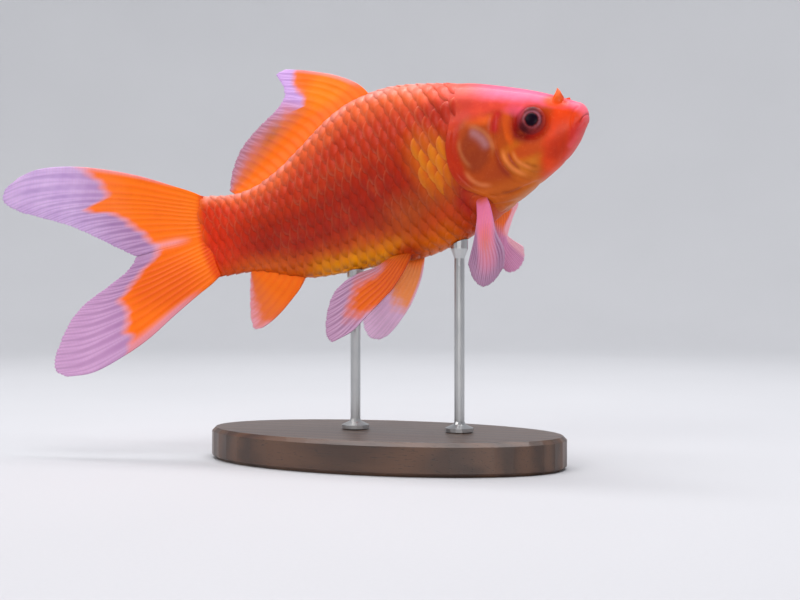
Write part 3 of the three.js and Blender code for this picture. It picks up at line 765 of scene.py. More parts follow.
# places of the scales: station of the root's far end, arc down from the back, half height, and how near
# the scale lies to the first of its row on the nape
def scalePlaces():
    places = []
    for row in scales["rows"]:
        s = scales["first"] + (row % 2) * 0.5 * scales["spacing"]
        first = None
        while s < body["tailRoot"]:
            share = float(ease(scales["stalkFrom"], scales["rowsShrunk"], s))
            rowHeight = mix(scales["row"], scales["stalkRow"], share)
            arc = float(np.interp(s, lateralStations, lateralArcs)) + row * rowHeight
            z = float(skinPoint(np.array([s]), angleAt(np.array([s]), np.array([arc])))[0, 2])
            inside = scales["border"] < arc < float(halfGirth(s)) - scales["border"]
            front = max(float(gillEdgeLine(z)), scales["collar"])
            if z > scales["napeHeight"]:
                nape = scales["napeFront"] + scales["napeWave"] * math.sin(2.4 * row)
                front = mix(front, nape, min((z - scales["napeHeight"]) / 5, 1))
            if inside and front + 0.4 < s < float(tailArc(z)) - 1.0:
                first = s if first is None else first
                napeStart = (1 - float(ease(*scales["napeReach"], s - first))) * min(max((z - 6) / 4, 0), 1)
                places.append((s, arc, rowHeight * 1.03, napeStart))
            s += mix(scales["spacing"], scales["stalkSpacing"], share)
    return np.array(places)


# the rows along the back and the belly, where the two sides meet
def midlinePlaces():
    places = []
    for start, end, arc in ((39.0, 66.5, 0.0), (117.5, 127, 0.0), (38.5, 97.0, 1.0), (118.5, 128, 1.0)):
        s = start
        while s < end:
            napeStart = float(1 - ease(*scales["napeReach"], s - start)) * (arc == 0.0)
            half = scales["midline"] if s < 90 else scales["stalkMidline"]
            places.append((s, arc * float(halfGirth(s)), half, napeStart))
            s += scales["spacing"]
    return np.array(places)


def scaleNormals(s, angle, middle):
    ds, da = 0.4, 0.03
    along = skinPoint(s + ds, angle) - skinPoint(s - ds, angle)
    around = skinPoint(s, angle + da) - skinPoint(s, angle - da)
    normal = np.cross(around, along)
    normal /= np.linalg.norm(normal, axis=1)[:, None]
    outward = np.sign(normal[:, 1] * middle[:, 1] + normal[:, 2] * middle[:, 2])
    return normal * np.where(outward == 0, 1, outward)[:, None]


# one scale repeated by an array, as many times as there are places
def repeated(name, master, count):
    holder = bpy.data.objects.new(name + "Holder", master)
    bpy.context.scene.collection.objects.link(holder)
    array = holder.modifiers.new("repeat", "ARRAY")
    array.count = count
    array.use_relative_offset = False
    array.use_constant_offset = True
    array.constant_offset_displace = (3, 0, 0)
    mesh = bpy.data.meshes.new_from_object(holder.evaluated_get(bpy.context.evaluated_depsgraph_get()))
    bpy.data.objects.remove(holder)
    return mesh


def makeScales(name, places, side, lift, material, rng):
    master = doubleSheet("scaleMaster", scales["steps"], scales["columns"])
    outwardFaces(master)
    local = coordinates(master)
    mesh = repeated(name, master, len(places))
    count = len(local)
    along, across, upper = [np.tile(local[:, k], len(places)) for k in range(3)]
    along = (along + 1) / 2
    across = np.sin(across * math.pi / 2)
    root, arc, half, napeStart = [np.repeat(places[:, k], count) for k in range(4)]
    tone, wobble, tilt = [np.repeat(rng.uniform(-most, most, len(places)), count) for most in scales["varied"]]
    stalk = ease(scales["stalkFrom"], scales["shrunk"], places[:, 0])
    small = np.repeat(mix(1.0, scales["stalkSize"], stalk), count)
    # the rear edge is a half ellipse, the front lies under the scales ahead
    rounded = scales["rounding"] * small * (1 - np.sqrt(np.clip(1 - across ** 2, 0, 1)))
    tip = root + wobble + 1.2
    s = tip - scales["length"] * small * (1 - along) - rounded * (0.35 + 0.65 * along)
    s = np.minimum(s, tailArc(-3))
    angle = angleAt(s, arc + across * half + tilt * (s - root)) * side
    at = skinPoint(s, angle)
    covered = mix(ease(*skin["nape"], s), 1, besideGill(at[:, 1], at[:, 2]))
    standing = covered * (1 - ease(*scales["laid"], s))
    slope = 1 - (tip - s) / (scales["length"] * small)
    foot = scales["root"] - scales["napeSink"] * napeStart
    height = mix(foot, mix(scales["laidTip"], scales["tip"], standing), slope) - scales["napeDrop"] * napeStart
    thick = scales["thick"] * (1 - 0.45 * along ** 3) * mix(0.5, 1, standing)
    inset = mix(skin["headInset"], skin["scaleInset"], covered)
    out = height + lift + upper * thick + scales["bow"] * (1 - across ** 2) - inset

    rise = riseAt(s, at[:, 2])
    behind = mix(np.maximum(s, gillEdgeLine(at[:, 2]) + 0.3), s, ease(5, 9, at[:, 2]))
    setPaint(mesh, markings(behind, at[:, 1], at[:, 2], rise))
    middle = skinPoint(places[:, 0], angleAt(places[:, 0], places[:, 1]) * side)
    cluster = patch(places[:, 0], middle[:, 2], *scales["cluster"])
    gold = cluster * ease(0.15, 0.8, rng.uniform(0, 1, len(places)))
    setNumbers(mesh, gold=np.repeat(np.clip(gold, 0, 1), count), tone=tone, along=along, across=across,
               rise=rise, lapped=covered)
    rootAngle = np.abs(angle.reshape(-1, count).mean(axis=1)) if side else np.zeros(len(places))
    u = 0.02 + 0.96 * np.repeat(places[:, 0] / 135, count)
    v = 0.5 + side * 0.48 * np.repeat(rootAngle / math.pi, count)
    bakeMap(mesh, u + (along - 0.5) * scales["patch"], v + across * 0.5 * scales["patch"])
    print(name + ":", len(places), "scales")
    show(name, mesh, at + scaleNormals(s, angle, at) * out[:, None], material)


# each scale is a small patch at its root's place on the unwrapped skin
def bakeMap(mesh, u, v):
    uvMap = mesh.uv_layers.new(name="OFBake")
    corners = np.empty(len(mesh.loops), np.int32)
    mesh.loops.foreach_get("vertex_index", corners)
    uvMap.data.foreach_set("uv", np.column_stack([u, v])[corners].astype(np.float32).ravel())


def scaleMaterial():
    shader = Shader("scales", {"Specular IOR Level": 0.16, "Coat Roughness": 0.14, "Coat IOR": 1.38})
    place = shader.place()
    along, across, tone = shader.numbers("along", "across", "tone")
    gold, rise, lapped = shader.numbers("gold", "rise", "lapped")
    cloud = shader.noise(place, 150, 4, 0.6)
    grain = shader.noise(place, 1500, 3, 0.6)
    paint = shader.attribute("paint", "Color")
    toned = shader.blend((tone * 0.5 + 0.5) * 0.14 * lapped, paint, rgba((112, 26, 14)))
    clouded = shader.blend(cloud.clamped(0.5, 0.75) * 0.14, toned, rgba((250, 110, 50)))
    crescent = (along + tone * 0.1).clamped(0.55, 0.95) * (1.1 - 0.5 * cloud.clamped(0.4, 0.7))
    golden = shader.blend(gold * crescent, clouded, rgba(colours["goldScale"]))
    # pale rear edges of the scales, stronger higher up the body: painted highlight of the light from above
    rim = along.clamped(0.86, 0.99) * (0.1 + 0.6 * rise) * cloud.clamped(0.3, 0.65)
    rimHighlighted = shader.blend(rim * 0.42, golden, rgba((255, 150, 110)))
    # darker fronts of the scales, where each lies under the one ahead: painted shade
    dark = (1 - along.clamped(0.3, 0.72)) * (0.06 + 0.12 * rise) * lapped
    rootShaded = shader.blend(dark, rimHighlighted, rgba((110, 24, 14)))
    bowed = shader.node("ShaderNodeCombineXYZ", {}, {0: along * 9 + across * across * 2.5})
    lines = shader.node("ShaderNodeTexWave", {"wave_type": "BANDS", "bands_direction": "X"},
                        {"Vector": bowed, "Scale": 1.0, "Distortion": 1.5})
    height = lines * 0.5 + grain * 0.6
    return shader.feed(colour=rootShaded, roughness=0.28 + 0.2 * grain, coat=0.02 + 0.2 * cloud,
                       normal=shader.bump(height, 0.3, 0.00014))


# fins
finForm = {
    "film": 0.24, "sunk": 1.4, "facesPerRay": 8, "step": 0.01, "notch": 0.55, "worn": 0.25,
    "rayFold": 0.08, "wideFold": 0.2, "thinning": 0.6, "raysSink": 0.75,
}
tailFork = [(128.4, -1.8), (141, -1.8), (154.6, -1.8)]


def tailSway(u, height):
    return 1.5 * u * u * np.sin(height) + 0.5 * np.sin(3 * u + height)


fins = {
    "fin_dorsal": {
        "replaces": "dorsal_fin", "rays": 18, "split": 0.55,
        "root": [(s, float(backLine(s)) - finForm["sunk"]) for s in (65, 72, 79, 86, 93, 100, 108, 116)],
        "lead": [(65, 26.9), (67.4, 31.3), (70.2, 34.2), (75.1, 37.7), (80, 40.3), (85.9, 43), (91.8, 45.2)],
        "margin": [(91.8, 45.2), (94.8, 44.2), (93.8, 41.2), (93.2, 38.4), (93.8, 35.9), (97, 32.9),
                   (102, 30.2), (106.5, 27.5), (112, 23.3), (116.8, 17), (119, 11.6)],
        "trail": [(116, 8.6), (117.6, 10.1), (119, 11.6)],
        "sway": lambda u, v: 0.9 * u * np.sin(2 + 5 * v) + 0.9 * u,
        "base": 1.9, "ridge": 0.15, "out": 56,
    },
    "fin_tail_upper": {
        "replaces": "caudal_fin_upper", "rays": 12, "split": 0.36,
        "root": [(127.6, 11.6), (128.2, 7), (128.4, 2), tailFork[0]],
        "lead": [(127.6, 11.6), (131, 14.2), (136.3, 17.5), (146.4, 23.6), (159.6, 29.8), (170.7, 33.6),
                 (181, 35.3), (188.5, 34.4)],
        "margin": [(188.5, 34.4), (194.2, 31.4), (195.3, 28.2), (191.6, 24), (184.5, 19.8), (175, 14.3),
                   (167.5, 8.6), (160.1, 2.5), tailFork[2]],
        "trail": tailFork,
        "sway": lambda u, v: tailSway(u, 2.4 - 2.2 * v),
        "base": 1.4, "ridge": 0.15, "out": 96,
    },
    "fin_tail_lower": {
        "replaces": "caudal_fin_lower", "rays": 11, "split": 0.36,
        "root": [tailFork[0], (128.4, -6), (128.2, -11), (127.6, -15)],
        "lead": tailFork,
        "margin": [tailFork[2], (157.6, -5), (165.7, -9), (174.4, -12.6), (180.3, -16.6),
                   (185.4, -22.4), (189.2, -28.6), (189.4, -31.8), (186.4, -34.6)],
        "trail": [(127.6, -15), (131, -17), (136.3, -19.4), (146.2, -24.3), (156.1, -29.4), (165.5, -32.8),
                  (177.1, -35.5), (186.4, -34.6)],
        "sway": lambda u, v: tailSway(u, 0.2 - 2.2 * v),
        "base": 1.4, "ridge": 0.15, "out": 96,
    },
    "fin_anal": {
        "replaces": "anal_fin", "rays": 7, "split": 0.5,
        "root": [(s, float(bellyLine(s)) + finForm["sunk"]) for s in (99.8, 104, 108, 112, 116.4)],
        "lead": [(99.8, -22), (103.2, -25.9), (106.8, -28.7), (111.1, -31.7), (115.4, -34), (119, -35.3)],
        "margin": [(119, -35.3), (121.5, -35), (122, -32), (121.2, -27.6), (119.8, -22.4), (118.2, -17.2)],
        "trail": [(116.4, -15.6), (117.2, -16.4), (118.2, -17.2)],
        "sway": lambda u, v: 0.7 * u * np.sin(1 + 3 * v),
        "base": 1.8, "ridge": 0.2, "out": 48,
    },
    "fin_pelvic_right": {
        "replaces": "pelvic_fin_right", "rays": 9, "split": 0.45, "side": -1,
        "root": [(63.4, -25.2, 4.0), (67, -25.0, 4.6), (70.6, -24.8, 5)],
        "lead": [(63.4, -25.2, 4.0), (66.6, -30, 6.8), (71.2, -34.6, 8.6),
                 (75.2, -37.2, 9.6), (80.8, -40.8, 10.8), (86.2, -44.2, 11.8), (90.8, -45.6, 12.4)],
        "margin": [(90.8, -45.6, 12.4), (94.4, -46, 12.6), (95.4, -43.2, 12.2),
                   (93.8, -37, 11.2), (90.4, -31.4, 10), (86.2, -28.6, 9)],
        "trail": [(70.6, -24.8, 5), (75.4, -26.6, 7), (80.8, -27.2, 8.2), (86.2, -28.6, 9)],
        "base": 1.8, "ridge": 0.2, "out": 64,
    },
    "fin_pelvic_left": {
        "replaces": "pelvic_fin_left", "rays": 9, "split": 0.45, "side": 1,
        "root": [(61.6, -25.4, 4.0), (65, -25.2, 4.6), (68.6, -25, 5)],
        "lead": [(61.6, -25.4, 4.0), (64.6, -31, 6.8), (68, -35.5, 8.6), (71.8, -39.8, 9.8),
                 (75.4, -42.8, 10.8), (79.2, -45.6, 11.6), (82.4, -47.4, 12.2)],
        "margin": [(82.4, -47.4, 12.2), (85.6, -47.8, 12.4), (88.2, -46.2, 12),
                   (88.8, -41.6, 11), (87, -35.4, 10), (83, -30.8, 9)],
        "trail": [(68.6, -25, 5), (73, -27.2, 7.2), (78, -29, 8.4), (83, -30.8, 9)],
        "base": 1.8, "ridge": 0.2, "out": 60,
    },
    "fin_pectoral_right": {
        "replaces": "pectoral_fin_right", "rays": 13, "split": 0.5, "side": -1,
        "root": [(35.2, -13.4, 7.5), (36.6, -13.4, 7.5), (38.1, -13.4, 7.5)],
        "lead": [(35.2, -13.4, 7.5), (34.2, -17.4, 9.4), (33.7, -20.4, 10.9),
                 (33.3, -27, 13.4), (31.9, -33, 15), (33.2, -38.4, 16)],
        "margin": [(33.2, -38.4, 16), (37.1, -41.7, 16.6), (40.6, -42.4, 16.8),
                   (43, -39.4, 16.4), (43.9, -34.6, 15.6)],
        "trail": [(38.1, -13.4, 7.5), (38.2, -17.4, 9.4), (38.6, -21.6, 11.4),
                  (40.5, -27.6, 13.8), (43.9, -34.6, 15.6)],
        "sway": lambda u, v: 1.1 * u * np.sin(2 + 4.4 * v),
        "base": 1.7, "ridge": 0.16, "out": 60,
    },
    "fin_pectoral_left": {
        "replaces": "pectoral_fin_left", "rays": 13, "split": 0.5, "side": 1,
        "root": [(34.4, -14.4, 7.9), (36.6, -14.6, 7.9), (38.6, -14.6, 7.9)],
        "lead": [(34.4, -14.4, 7.9), (30.7, -16.8, 11.4), (34, -20.6, 13.2),
                 (37.6, -24.8, 14.4), (33.3, -31.2, 15.8)],
        "margin": [(33.3, -31.2, 15.8), (34.4, -34.8, 17), (37.3, -37.6, 17.6),
                   (40.4, -37.6, 17.8), (42.8, -34.2, 17.4)],
        "trail": [(38.6, -14.6, 7.9), (40.4, -21, 12), (42.4, -28, 15), (42.8, -34.2, 17.4)],
        "sway": lambda u, v: 1.1 * u * np.sin(2 + 4.4 * v),
        "base": 1.7, "ridge": 0.16, "out": 60,
    },
}

finColours = {
    "orange": (254, 112, 10), "orangeDeep": (226, 84, 8), "orangeBright": (255, 118, 2),
    "amber": (255, 150, 14), "orangeBrown": (204, 104, 78), "olive": (168, 92, 34), "deepOrangeAndShade": (190, 70, 16),
    "scarlet": (226, 66, 22),
    "coral": (255, 128, 76), "coralLit": (255, 164, 104), "clay": (184, 98, 98), "rose": (212, 116, 164),
    "white": (212, 178, 226), "whitePink": (238, 172, 190), "whiteLit": (252, 206, 240),
    "lilac": (190, 154, 210), "frost": (214, 168, 236), "margin": (168, 120, 152), "fork": (160, 112, 160),
    "blush": (200, 142, 186), "dusk": (136, 86, 116), "smoke": (150, 104, 116), "orchid": (216, 138, 184),
    "blossom": (255, 190, 206),
}


# how far a place in side view lies past an uneven border
def pastBorder(s, z, heights, stations):
    return ease(-2.0, 2.4, s - np.interp(z, heights, stations) + 0.9 * ripple(s * 0.3, z, 1.6))


# how white each fin is at a place: s and z in side view, u out from the root, v back from the leading edge
def paleUpper(s, z, u, v):
    return pastBorder(s, z, [-2, 0, 3, 6, 9, 12, 14.5, 16.4, 18, 19.6, 21, 25, 29, 35],
                      [146.5, 146.5, 149, 151, 153.5, 155.5, 159.5, 166, 167, 160, 158.5, 160, 163.5, 168])


def paleLower(s, z, u, v):
    inner = pastBorder(s, z, [-36, -31, -27.5, -25.5, -22, -19.4, -16.5, -14.2, -12, -9, -6, -3.2, -1.5],
                       [165, 163, 161, 163, 161.5, 160.5, 162, 163, 159.5, 156, 151.8, 147, 146])
    return np.maximum(inner, 0.6 * ease(0.88, 1.0, v) * ease(133, 146, s))


def paleDorsal(s, z, u, v):
    border = np.interp(z, [8, 20, 26, 27.5, 29.8, 31, 34, 39, 42.6, 45],
                       [150, 108, 101, 96, 95.5, 87.5, 87, 89.3, 88.5, 86])
    tip = ease(-1.2, 1.6, s - border + 0.5 * ripple(s, z, 1.2)) * (1 - ease(0.25, 0.45, v))
    return np.maximum(tip, 0.85 * ease(0.55, 1.0, u + 0.04 * ripple(s, z)) * ease(0.14, 0.3, v))


def paleAnal(s, z, u, v):
    return ease(0.72, 1.05, u + 0.05 * ripple(s, z)) * 0.6


def palePelvicNear(s, z, u, v):
    tip = ease(0.5, 0.76, u + 0.05 * ripple(s, z) - 0.12 * hump(v - 0.35, 0.2))
    rear = ease(0.5, 0.86, v + 0.05 * ripple(s, z)) * ease(0.1, 0.35, u)
    return np.maximum(tip, rear * 0.85)


def palePelvicFar(s, z, u, v):
    tip = ease(0.5, 0.72, u + 0.05 * ripple(s, z) + 0.16 * v)
    return np.maximum(tip, 0.8 * (1 - ease(0.0, 0.09, v)) * ease(0.05, 0.2, u))


def palePectoralNear(s, z, u, v):
    middle = hump(v - 0.45, 0.24) * (1 - ease(0.75, 0.95, u))
    beside = 0.6 * ease(0.3, 0.6, u) * ease(0.2, 0.42, np.abs(v - 0.45))
    return np.clip(ease(0.4, 0.8, u) * (1 - 0.5 * middle) + beside, 0, 1)


# the rolled front edge of the far pectoral fin
def rolledEdge(u, v):
    edge = 0.14 + 0.36 * hump(u - 0.44, 0.16)
    return (1 - ease(edge, edge + 0.16, v)) * ease(0.12, 0.24, u)


def palePectoralFar(s, z, u, v):
    return np.maximum(ease(0.5, 0.7, u + 0.25 * v), 0.9 * rolledEdge(u, v))


paleness = {
    "fin_tail_upper": paleUpper, "fin_tail_lower": paleLower, "fin_dorsal": paleDorsal, "fin_anal": paleAnal,
    "fin_pelvic_right": palePelvicNear, "fin_pelvic_left": palePelvicFar,
    "fin_pectoral_right": palePectoralNear, "fin_pectoral_left": palePectoralFar,
}


# the colours over each fin's orange part, and those over its white part
def finTints(name, s, z, u, v):
    paint, white = [("orange", 1)], [("white", 1), ("lilac", 0.5 + 0.5 * ripple(s, z, 2.4))]
    if "tail" in name:
        paint += [
            ("orangeBright", 1 - ease(130, 140, s)),
            ("scarlet", 1 - ease(-1.2, 1.6, s - tailArc(z))),
            ("orangeDeep", patch(s, z, (146, -14), (12, 8), 20, 0.6) * 0.8),
            ("coral", ease(146, 158, s) * ease(2, 8, z) * 0.4),
            ("whitePink", hump(z + 0.6 - 0.05 * (s - 140), 1.3) * ease(133, 141, s) * 0.55),
        ]
        white += [("blush", 0.7 * ("lower" in name)), ("fork", (1 - ease(152, 176, s)) * 0.8)]
    if "dorsal" in name:
        paint += [
            ("amber", patch(s, z, (78, 35), (10, 5), -25, 0.5) * 0.6),
            ("orangeBrown", ease(0.3, 0.6, u) * ease(0.2, 0.4, v) * 0.85),
            ("olive", patch(s, z, (100.5, 25.6), (4.4, 1.7), -38, 0.7) * 0.7),
            ("coral", ease(84, 90, s) * ease(30, 38, z) * 0.6),
        ]
        white += [("frost", 1), ("margin", ease(0.2, 0.5, v))]
    if "dorsal" in name or "upper" in name:
        paint.append(("whitePink", (1 - ease(0.0, 0.05, v)) * ease(0.1, 0.3, u) * 0.6))
    if "anal" in name:
        paint.append(("orangeBrown", ease(0.2, 0.8, u) * 0.6))
        white.append(("whitePink", 0.6))
    if "pelvic_right" in name:
        # deep orange over the near pelvic fin: partly its own colour, partly painted shade
        paint.append(("deepOrangeAndShade", 0.9 - 0.2 * ease(0.3, 0.6, u)))
        white += [("margin", 0.9), ("smoke", 0.8 * ease(0.5, 0.9, v) * (1 - ease(0.5, 0.9, u)))]
    if "pelvic_left" in name:
        # brighter coral and white over the far pelvic fin: painted light that lifts it out of the near fin's
        # shade
        paint.append(("coralLit", 0.9 * ease(0.0, 0.2, u)))
        white.append(("whiteLit", 0.7))
    if "pectoral_right" in name:
        paint += [("rose", 1), ("clay", 0.8 * hump(v - 0.45, 0.22) * hump(u - 0.58, 0.2))]
        white.append(("dusk", 0.9))
    if "pectoral_left" in name:
        paint.append(("coral", 0.8 * ease(0.1, 0.3, u)))
        white += [("orchid", 1), ("blossom", rolledEdge(u, v))]
    return paint, white


def finPaint(name, s, z, u, v):
    paint, white = [layered(np.zeros((len(s), 3)), steps, finColours) for steps in finTints(name, s, z, u, v)]
    pale = paleness[name](s, z, u, v)
    border = 4 * pale * (1 - pale) * (0.3 if "tail" in name else 0.1)
    return layered(mix(paint, white, pale[:, None]), [("whitePink", border)], finColours), pale


# the height of the rays, which fork on their way out
def rayHeight(place, u, split):
    fork = 0.25 * ease(split, 1.0, u)
    twig = 0.12 * ease(mix(split, 1, 0.5), 1.1, u)
    x = place - np.floor(place) - 0.5
    width = mix(0.24, 0.1, ease(0.2, 0.9, u))
    height = np.zeros(x.shape)
    for first in (-1, 1):
        for second in (-1, 1):
            height = np.maximum(height, hump(x - first * fork - second * twig, width))
    return height


def makeFin(name, fin, material):
    side = fin.get("side", 1)
    curves = {}
    for edge in ("root", "lead", "margin", "trail"):
        curves[edge] = throughPoints([(p[0], (p[2] if len(p) > 2 else 0) * side, p[1]) for p in fin[edge]])

    def surface(u, v):
        corner = {key: curves[key](np.array([0.0, 1.0])) for key in ("root", "margin")}
        a, b = u[:, None], v[:, None]
        at = curves["lead"](u) * (1 - b) + curves["trail"](u) * b
        at = at + curves["root"](v) * (1 - a) + curves["margin"](v) * a
        at = at - corner["root"][0] * (1 - a) * (1 - b) - corner["root"][1] * (1 - a) * b
        at = at - corner["margin"][0] * a * (1 - b) - corner["margin"][1] * a * b
        if "sway" in fin:
            at[:, 1] += fin["sway"](u, v)
        return at

    mesh = doubleSheet(name, fin["out"], fin["rays"] * finForm["facesPerRay"])
    laid = coordinates(mesh)
    u, v, sheet = (laid[:, 0] + 1) / 2, (laid[:, 1] + 1) / 2, laid[:, 2] * 2 - 1
    place = v * fin["rays"]
    length = np.linalg.norm(surface(np.ones(len(u)), v) - surface(np.zeros(len(u)), v), axis=1)
    height = rayHeight(place, u, fin["split"])
    tipHeight = rayHeight(place, np.ones(len(u)), fin["split"])
    ragged = (finForm["notch"] * (1 - tipHeight) + finForm["worn"] * (1 + ripple(place * 3.1, place))) / length
    reach = u * (1 - ragged * ease(0.5, 1, u))
    step = finForm["step"]
    du = surface(np.minimum(reach + step, 1), v) - surface(np.maximum(reach - step, 0), v)
    dv = surface(reach, np.minimum(v + step, 1)) - surface(reach, np.maximum(v - step, 0))
    normal = np.cross(du, dv)
    normal /= np.maximum(np.linalg.norm(normal, axis=1), 1e-9)[:, None]
    at = surface(reach, v)
    edgeRay = np.maximum(hump(v, 0.6 / fin["rays"]), 0.4 * hump(1 - v, 0.5 / fin["rays"]))
    film = mix(fin["base"], finForm["film"], ease(0, 0.32, u) ** 0.7)
    if "side" in fin:
        film = film * mix(np.sqrt(np.clip(1.02 - (2 * v - 1) ** 2, 0, 1)), 1, ease(0.12, 0.4, u))
    ridge = fin["ridge"] * np.maximum(height, edgeRay) * (1 - finForm["raysSink"] * u) * ease(0, 0.08, u)
    fold = finForm["rayFold"] * np.sin(2 * math.pi * place) * ease(0.35, 1, u)
    fold += finForm["wideFold"] * np.sin(0.9 * place + 1) * ease(0.5, 1, u)
    taper = 1 - finForm["thinning"] * ease(0.96, 1, u)
    points = at + normal * (sheet * (film / 2 + ridge) * taper + fold * 0.6)[:, None]
    paint, pale = finPaint(name, at[:, 0], at[:, 2], u, v)
    if "side" in fin:
        grown = ease(0.06, 0.2, u) if "pectoral" in name else ease(0.01, 0.1, u)
        paint = mix(markings(*at.T, riseAt(at[:, 0], at[:, 2])), paint, grown[:, None])
    setPaint(mesh, paint)
    setNumbers(mesh, pale=pale, ray=np.maximum(height, edgeRay), out=u, joint=reach * length)
    show(name, mesh, points, material, (fin["replaces"],))


def finMaterial():
    shader = Shader("fin membrane", {"Specular IOR Level": 0.16, "Coat Roughness": 0.2, "Coat IOR": 1.34})
    place = shader.place()
    paint = shader.attribute("paint", "Color")
    ray, out, pale, joint = shader.numbers("ray", "out", "pale", "joint")
    cloud = shader.noise(place, 120, 4, 0.6)
    grain = shader.noise(place, 1300, 2, 0.5)
    clouded = shader.blend(cloud.clamped(0.4, 0.75) * (1 - pale) * 0.25, paint, rgba((222, 66, 8)))
    between = shader.blend((1 - ray) * 0.2 * (1 - pale), clouded, rgba((255, 140, 20)))
    rays = shader.blend(ray * pale * 0.2, between, rgba((240, 214, 238)))
    joints = (joint * 5.6).run("SINE").clamped(0.55, 0.95) * ray * out.clamped(0.12, 0.3)
    jointed = shader.blend(joints * 0.08, rays, rgba((190, 90, 60)))
    film = (1 - ray) * out.clamped(0.4, 1.0) * (0.02 + 0.28 * pale)
    height = grain * 0.4 - joints * 0.3
    return shader.feed(colour=jointed, roughness=0.36 + 0.2 * grain, coat=0.05 + 0.15 * cloud, alpha=1 - film,
                       normal=shader.bump(height, 0.3, 0.00012))


# eyes: a turned globe with the pupil's lens standing a little proud, in a soft ring of dark skin
eyeForm = {
    "sides": 96, "globe": 4.1, "lidStretch": 0.99, "lidBack": 0.2, "lidUp": 0.1, "lidStart": (4.05, 4.3),
    # radius, height out of the head
    "profile": [(0, 3.44), (0.6, 3.42), (1.2, 3.36), (1.6, 3.28), (1.76, 3.21), (1.84, 3.14), (2.2, 3.06),
                (2.7, 2.9), (3.2, 2.72), (3.6, 2.5), (3.84, 2.32), (3.96, 2.16), (4.06, 2.12), (4.2, 2.1),
                (4.4, 2.1), (4.6, 2), (4.8, 2), (5.0, 1.9), (5.3, 1.8), (5.6, 1.6), (5.9, 1.4), (6.2, 1.2),
                (6.3, 0.8), (4.6, -1.4), (2.4, -2.6), (0, -3.0)],
    # radius, height over the plain body: the lid melts into the skin around it
    "lid": [(4.1, -0.08), (4.25, 0.01), (4.45, 0.07), (4.7, 0.06), (5.0, 0.01), (5.3, -0.05), (5.6, -0.1),
            (5.9, -0.14), (6.2, -0.24), (6.3, -0.8)],
    # tints over the iris: where they start and end, what they follow, how strong they are
    "tints": [(2.9, 3.9, None, 0.6, (136, 30, 32)), (2.0, 3.0, "shade", 0.78, (48, 4, 14)),
              (2.8, 4.0, "veil", 0.5, (206, 76, 92)), (3.0, 4.1, "glow", 0.6, (186, 62, 40))],
}


def makeEye(name, side, material):
    mesh = spun(name, eyeForm["profile"], eyeForm["sides"])
    x, across, out = coordinates(mesh).T
    radius = np.hypot(x, across)
    c, d = math.cos(eye["forward"]), math.sin(eye["forward"])
    e, f = math.cos(eye["up"]), math.sin(eye["up"])
    s = eye["station"] + x * c - out * d * e
    y = eye["side"] + out * c * e + x * d - across * f
    z = eye["height"] + across * e + out * f
    lid = (radius > eyeForm["globe"]) & (out > 0)
    s = np.where(lid, eye["station"] + x * eyeForm["lidStretch"] - eyeForm["lidBack"], s)
    z = np.where(lid, eye["height"] + across + eyeForm["lidUp"], z)
    lift = np.interp(radius, *np.array(eyeForm["lid"]).T)
    y = mix(y, skinSide(s, z) + lift, lid * ease(*eyeForm["lidStart"], radius))
    setPaint(mesh, headMarkings(np.zeros((len(s), 3)), s, y, z))
    turn = np.arctan2(across, x)

    # how much a place faces a direction: 0 is towards the tail, a quarter turn is up
    def facing(direction, power):
        return np.clip(np.cos(turn - direction), 0, 1) ** power

    setNumbers(mesh, radius=radius, shine=0.62 + 0.38 * np.cos(turn - 2.2),
               shade=facing(-0.55, 4) + 0.8 * facing(1.75, 6), veil=facing(0.75, 5), glow=facing(3.35, 2))
    show(name, mesh, np.column_stack([s, side * y, z]), material, (name.replace("globe", "eye"),))


def eyeMaterial():
    shader = Shader("eye", {"Specular IOR Level": 0.08, "Coat Weight": 0.05, "Coat Roughness": 0.05,
                            "Coat IOR": 1.3})
    place = shader.place()
    radius, shine = shader.numbers("radius", "shine")
    streak = shader.noise(place, 900, 3, 0.6)
    fine = shader.noise(place, 2600, 2, 0.5)
    r = radius + 0.3 * (streak - 0.5)
    iris = shader.blend(streak.clamped(0.3, 0.75), rgba((90, 20, 26)), rgba((134, 44, 42)))
    ring = r.clamped(1.95, 2.45) * (1 - r.clamped(2.5, 3.15))
    iris = shader.blend(ring * shine * 0.46, iris, rgba((178, 112, 130)))
    for start, end, follows, strength, colour in eyeForm["tints"]:
        share = r.clamped(start, end) * (shader.attribute(follows) if follows else 1)
        iris = shader.blend(share * strength, iris, rgba(colour))
    globe = shader.blend(r.clamped(1.6, 2.35), rgba((16, 0, 16)), iris)
    flesh = fleshColour(shader, shader.noise(place, 160, 4, 0.6), shader.noise(place, 1400, 3, 0.6))
    lid = shader.blend(radius.clamped(3.85, 4.45), globe, flesh)
    bump = shader.bump(streak * 0.6 + fine * 0.3, 0.2, 0.0001)
    return shader.feed(colour=lid, roughness=0.3 + 0.25 * radius.clamped(3.9, 4.3) + 0.1 * fine, normal=bump)


# soft leaves of skin between the nostrils
flap = {
    "front": [(6.4, 4.0), (5.5, 5.8), (5.3, 7.2), (5.6, 8.6), (6.2, 9.8)],
    "rear": [(9.6, 5.4), (8.8, 6.8), (7.5, 8.0), (6.8, 9.0), (6.45, 9.75)],
    "thick": 0.5, "top": 3.6, "farShare": 0.62, "sunk": 0.42, "along": 18, "high": 16,
}


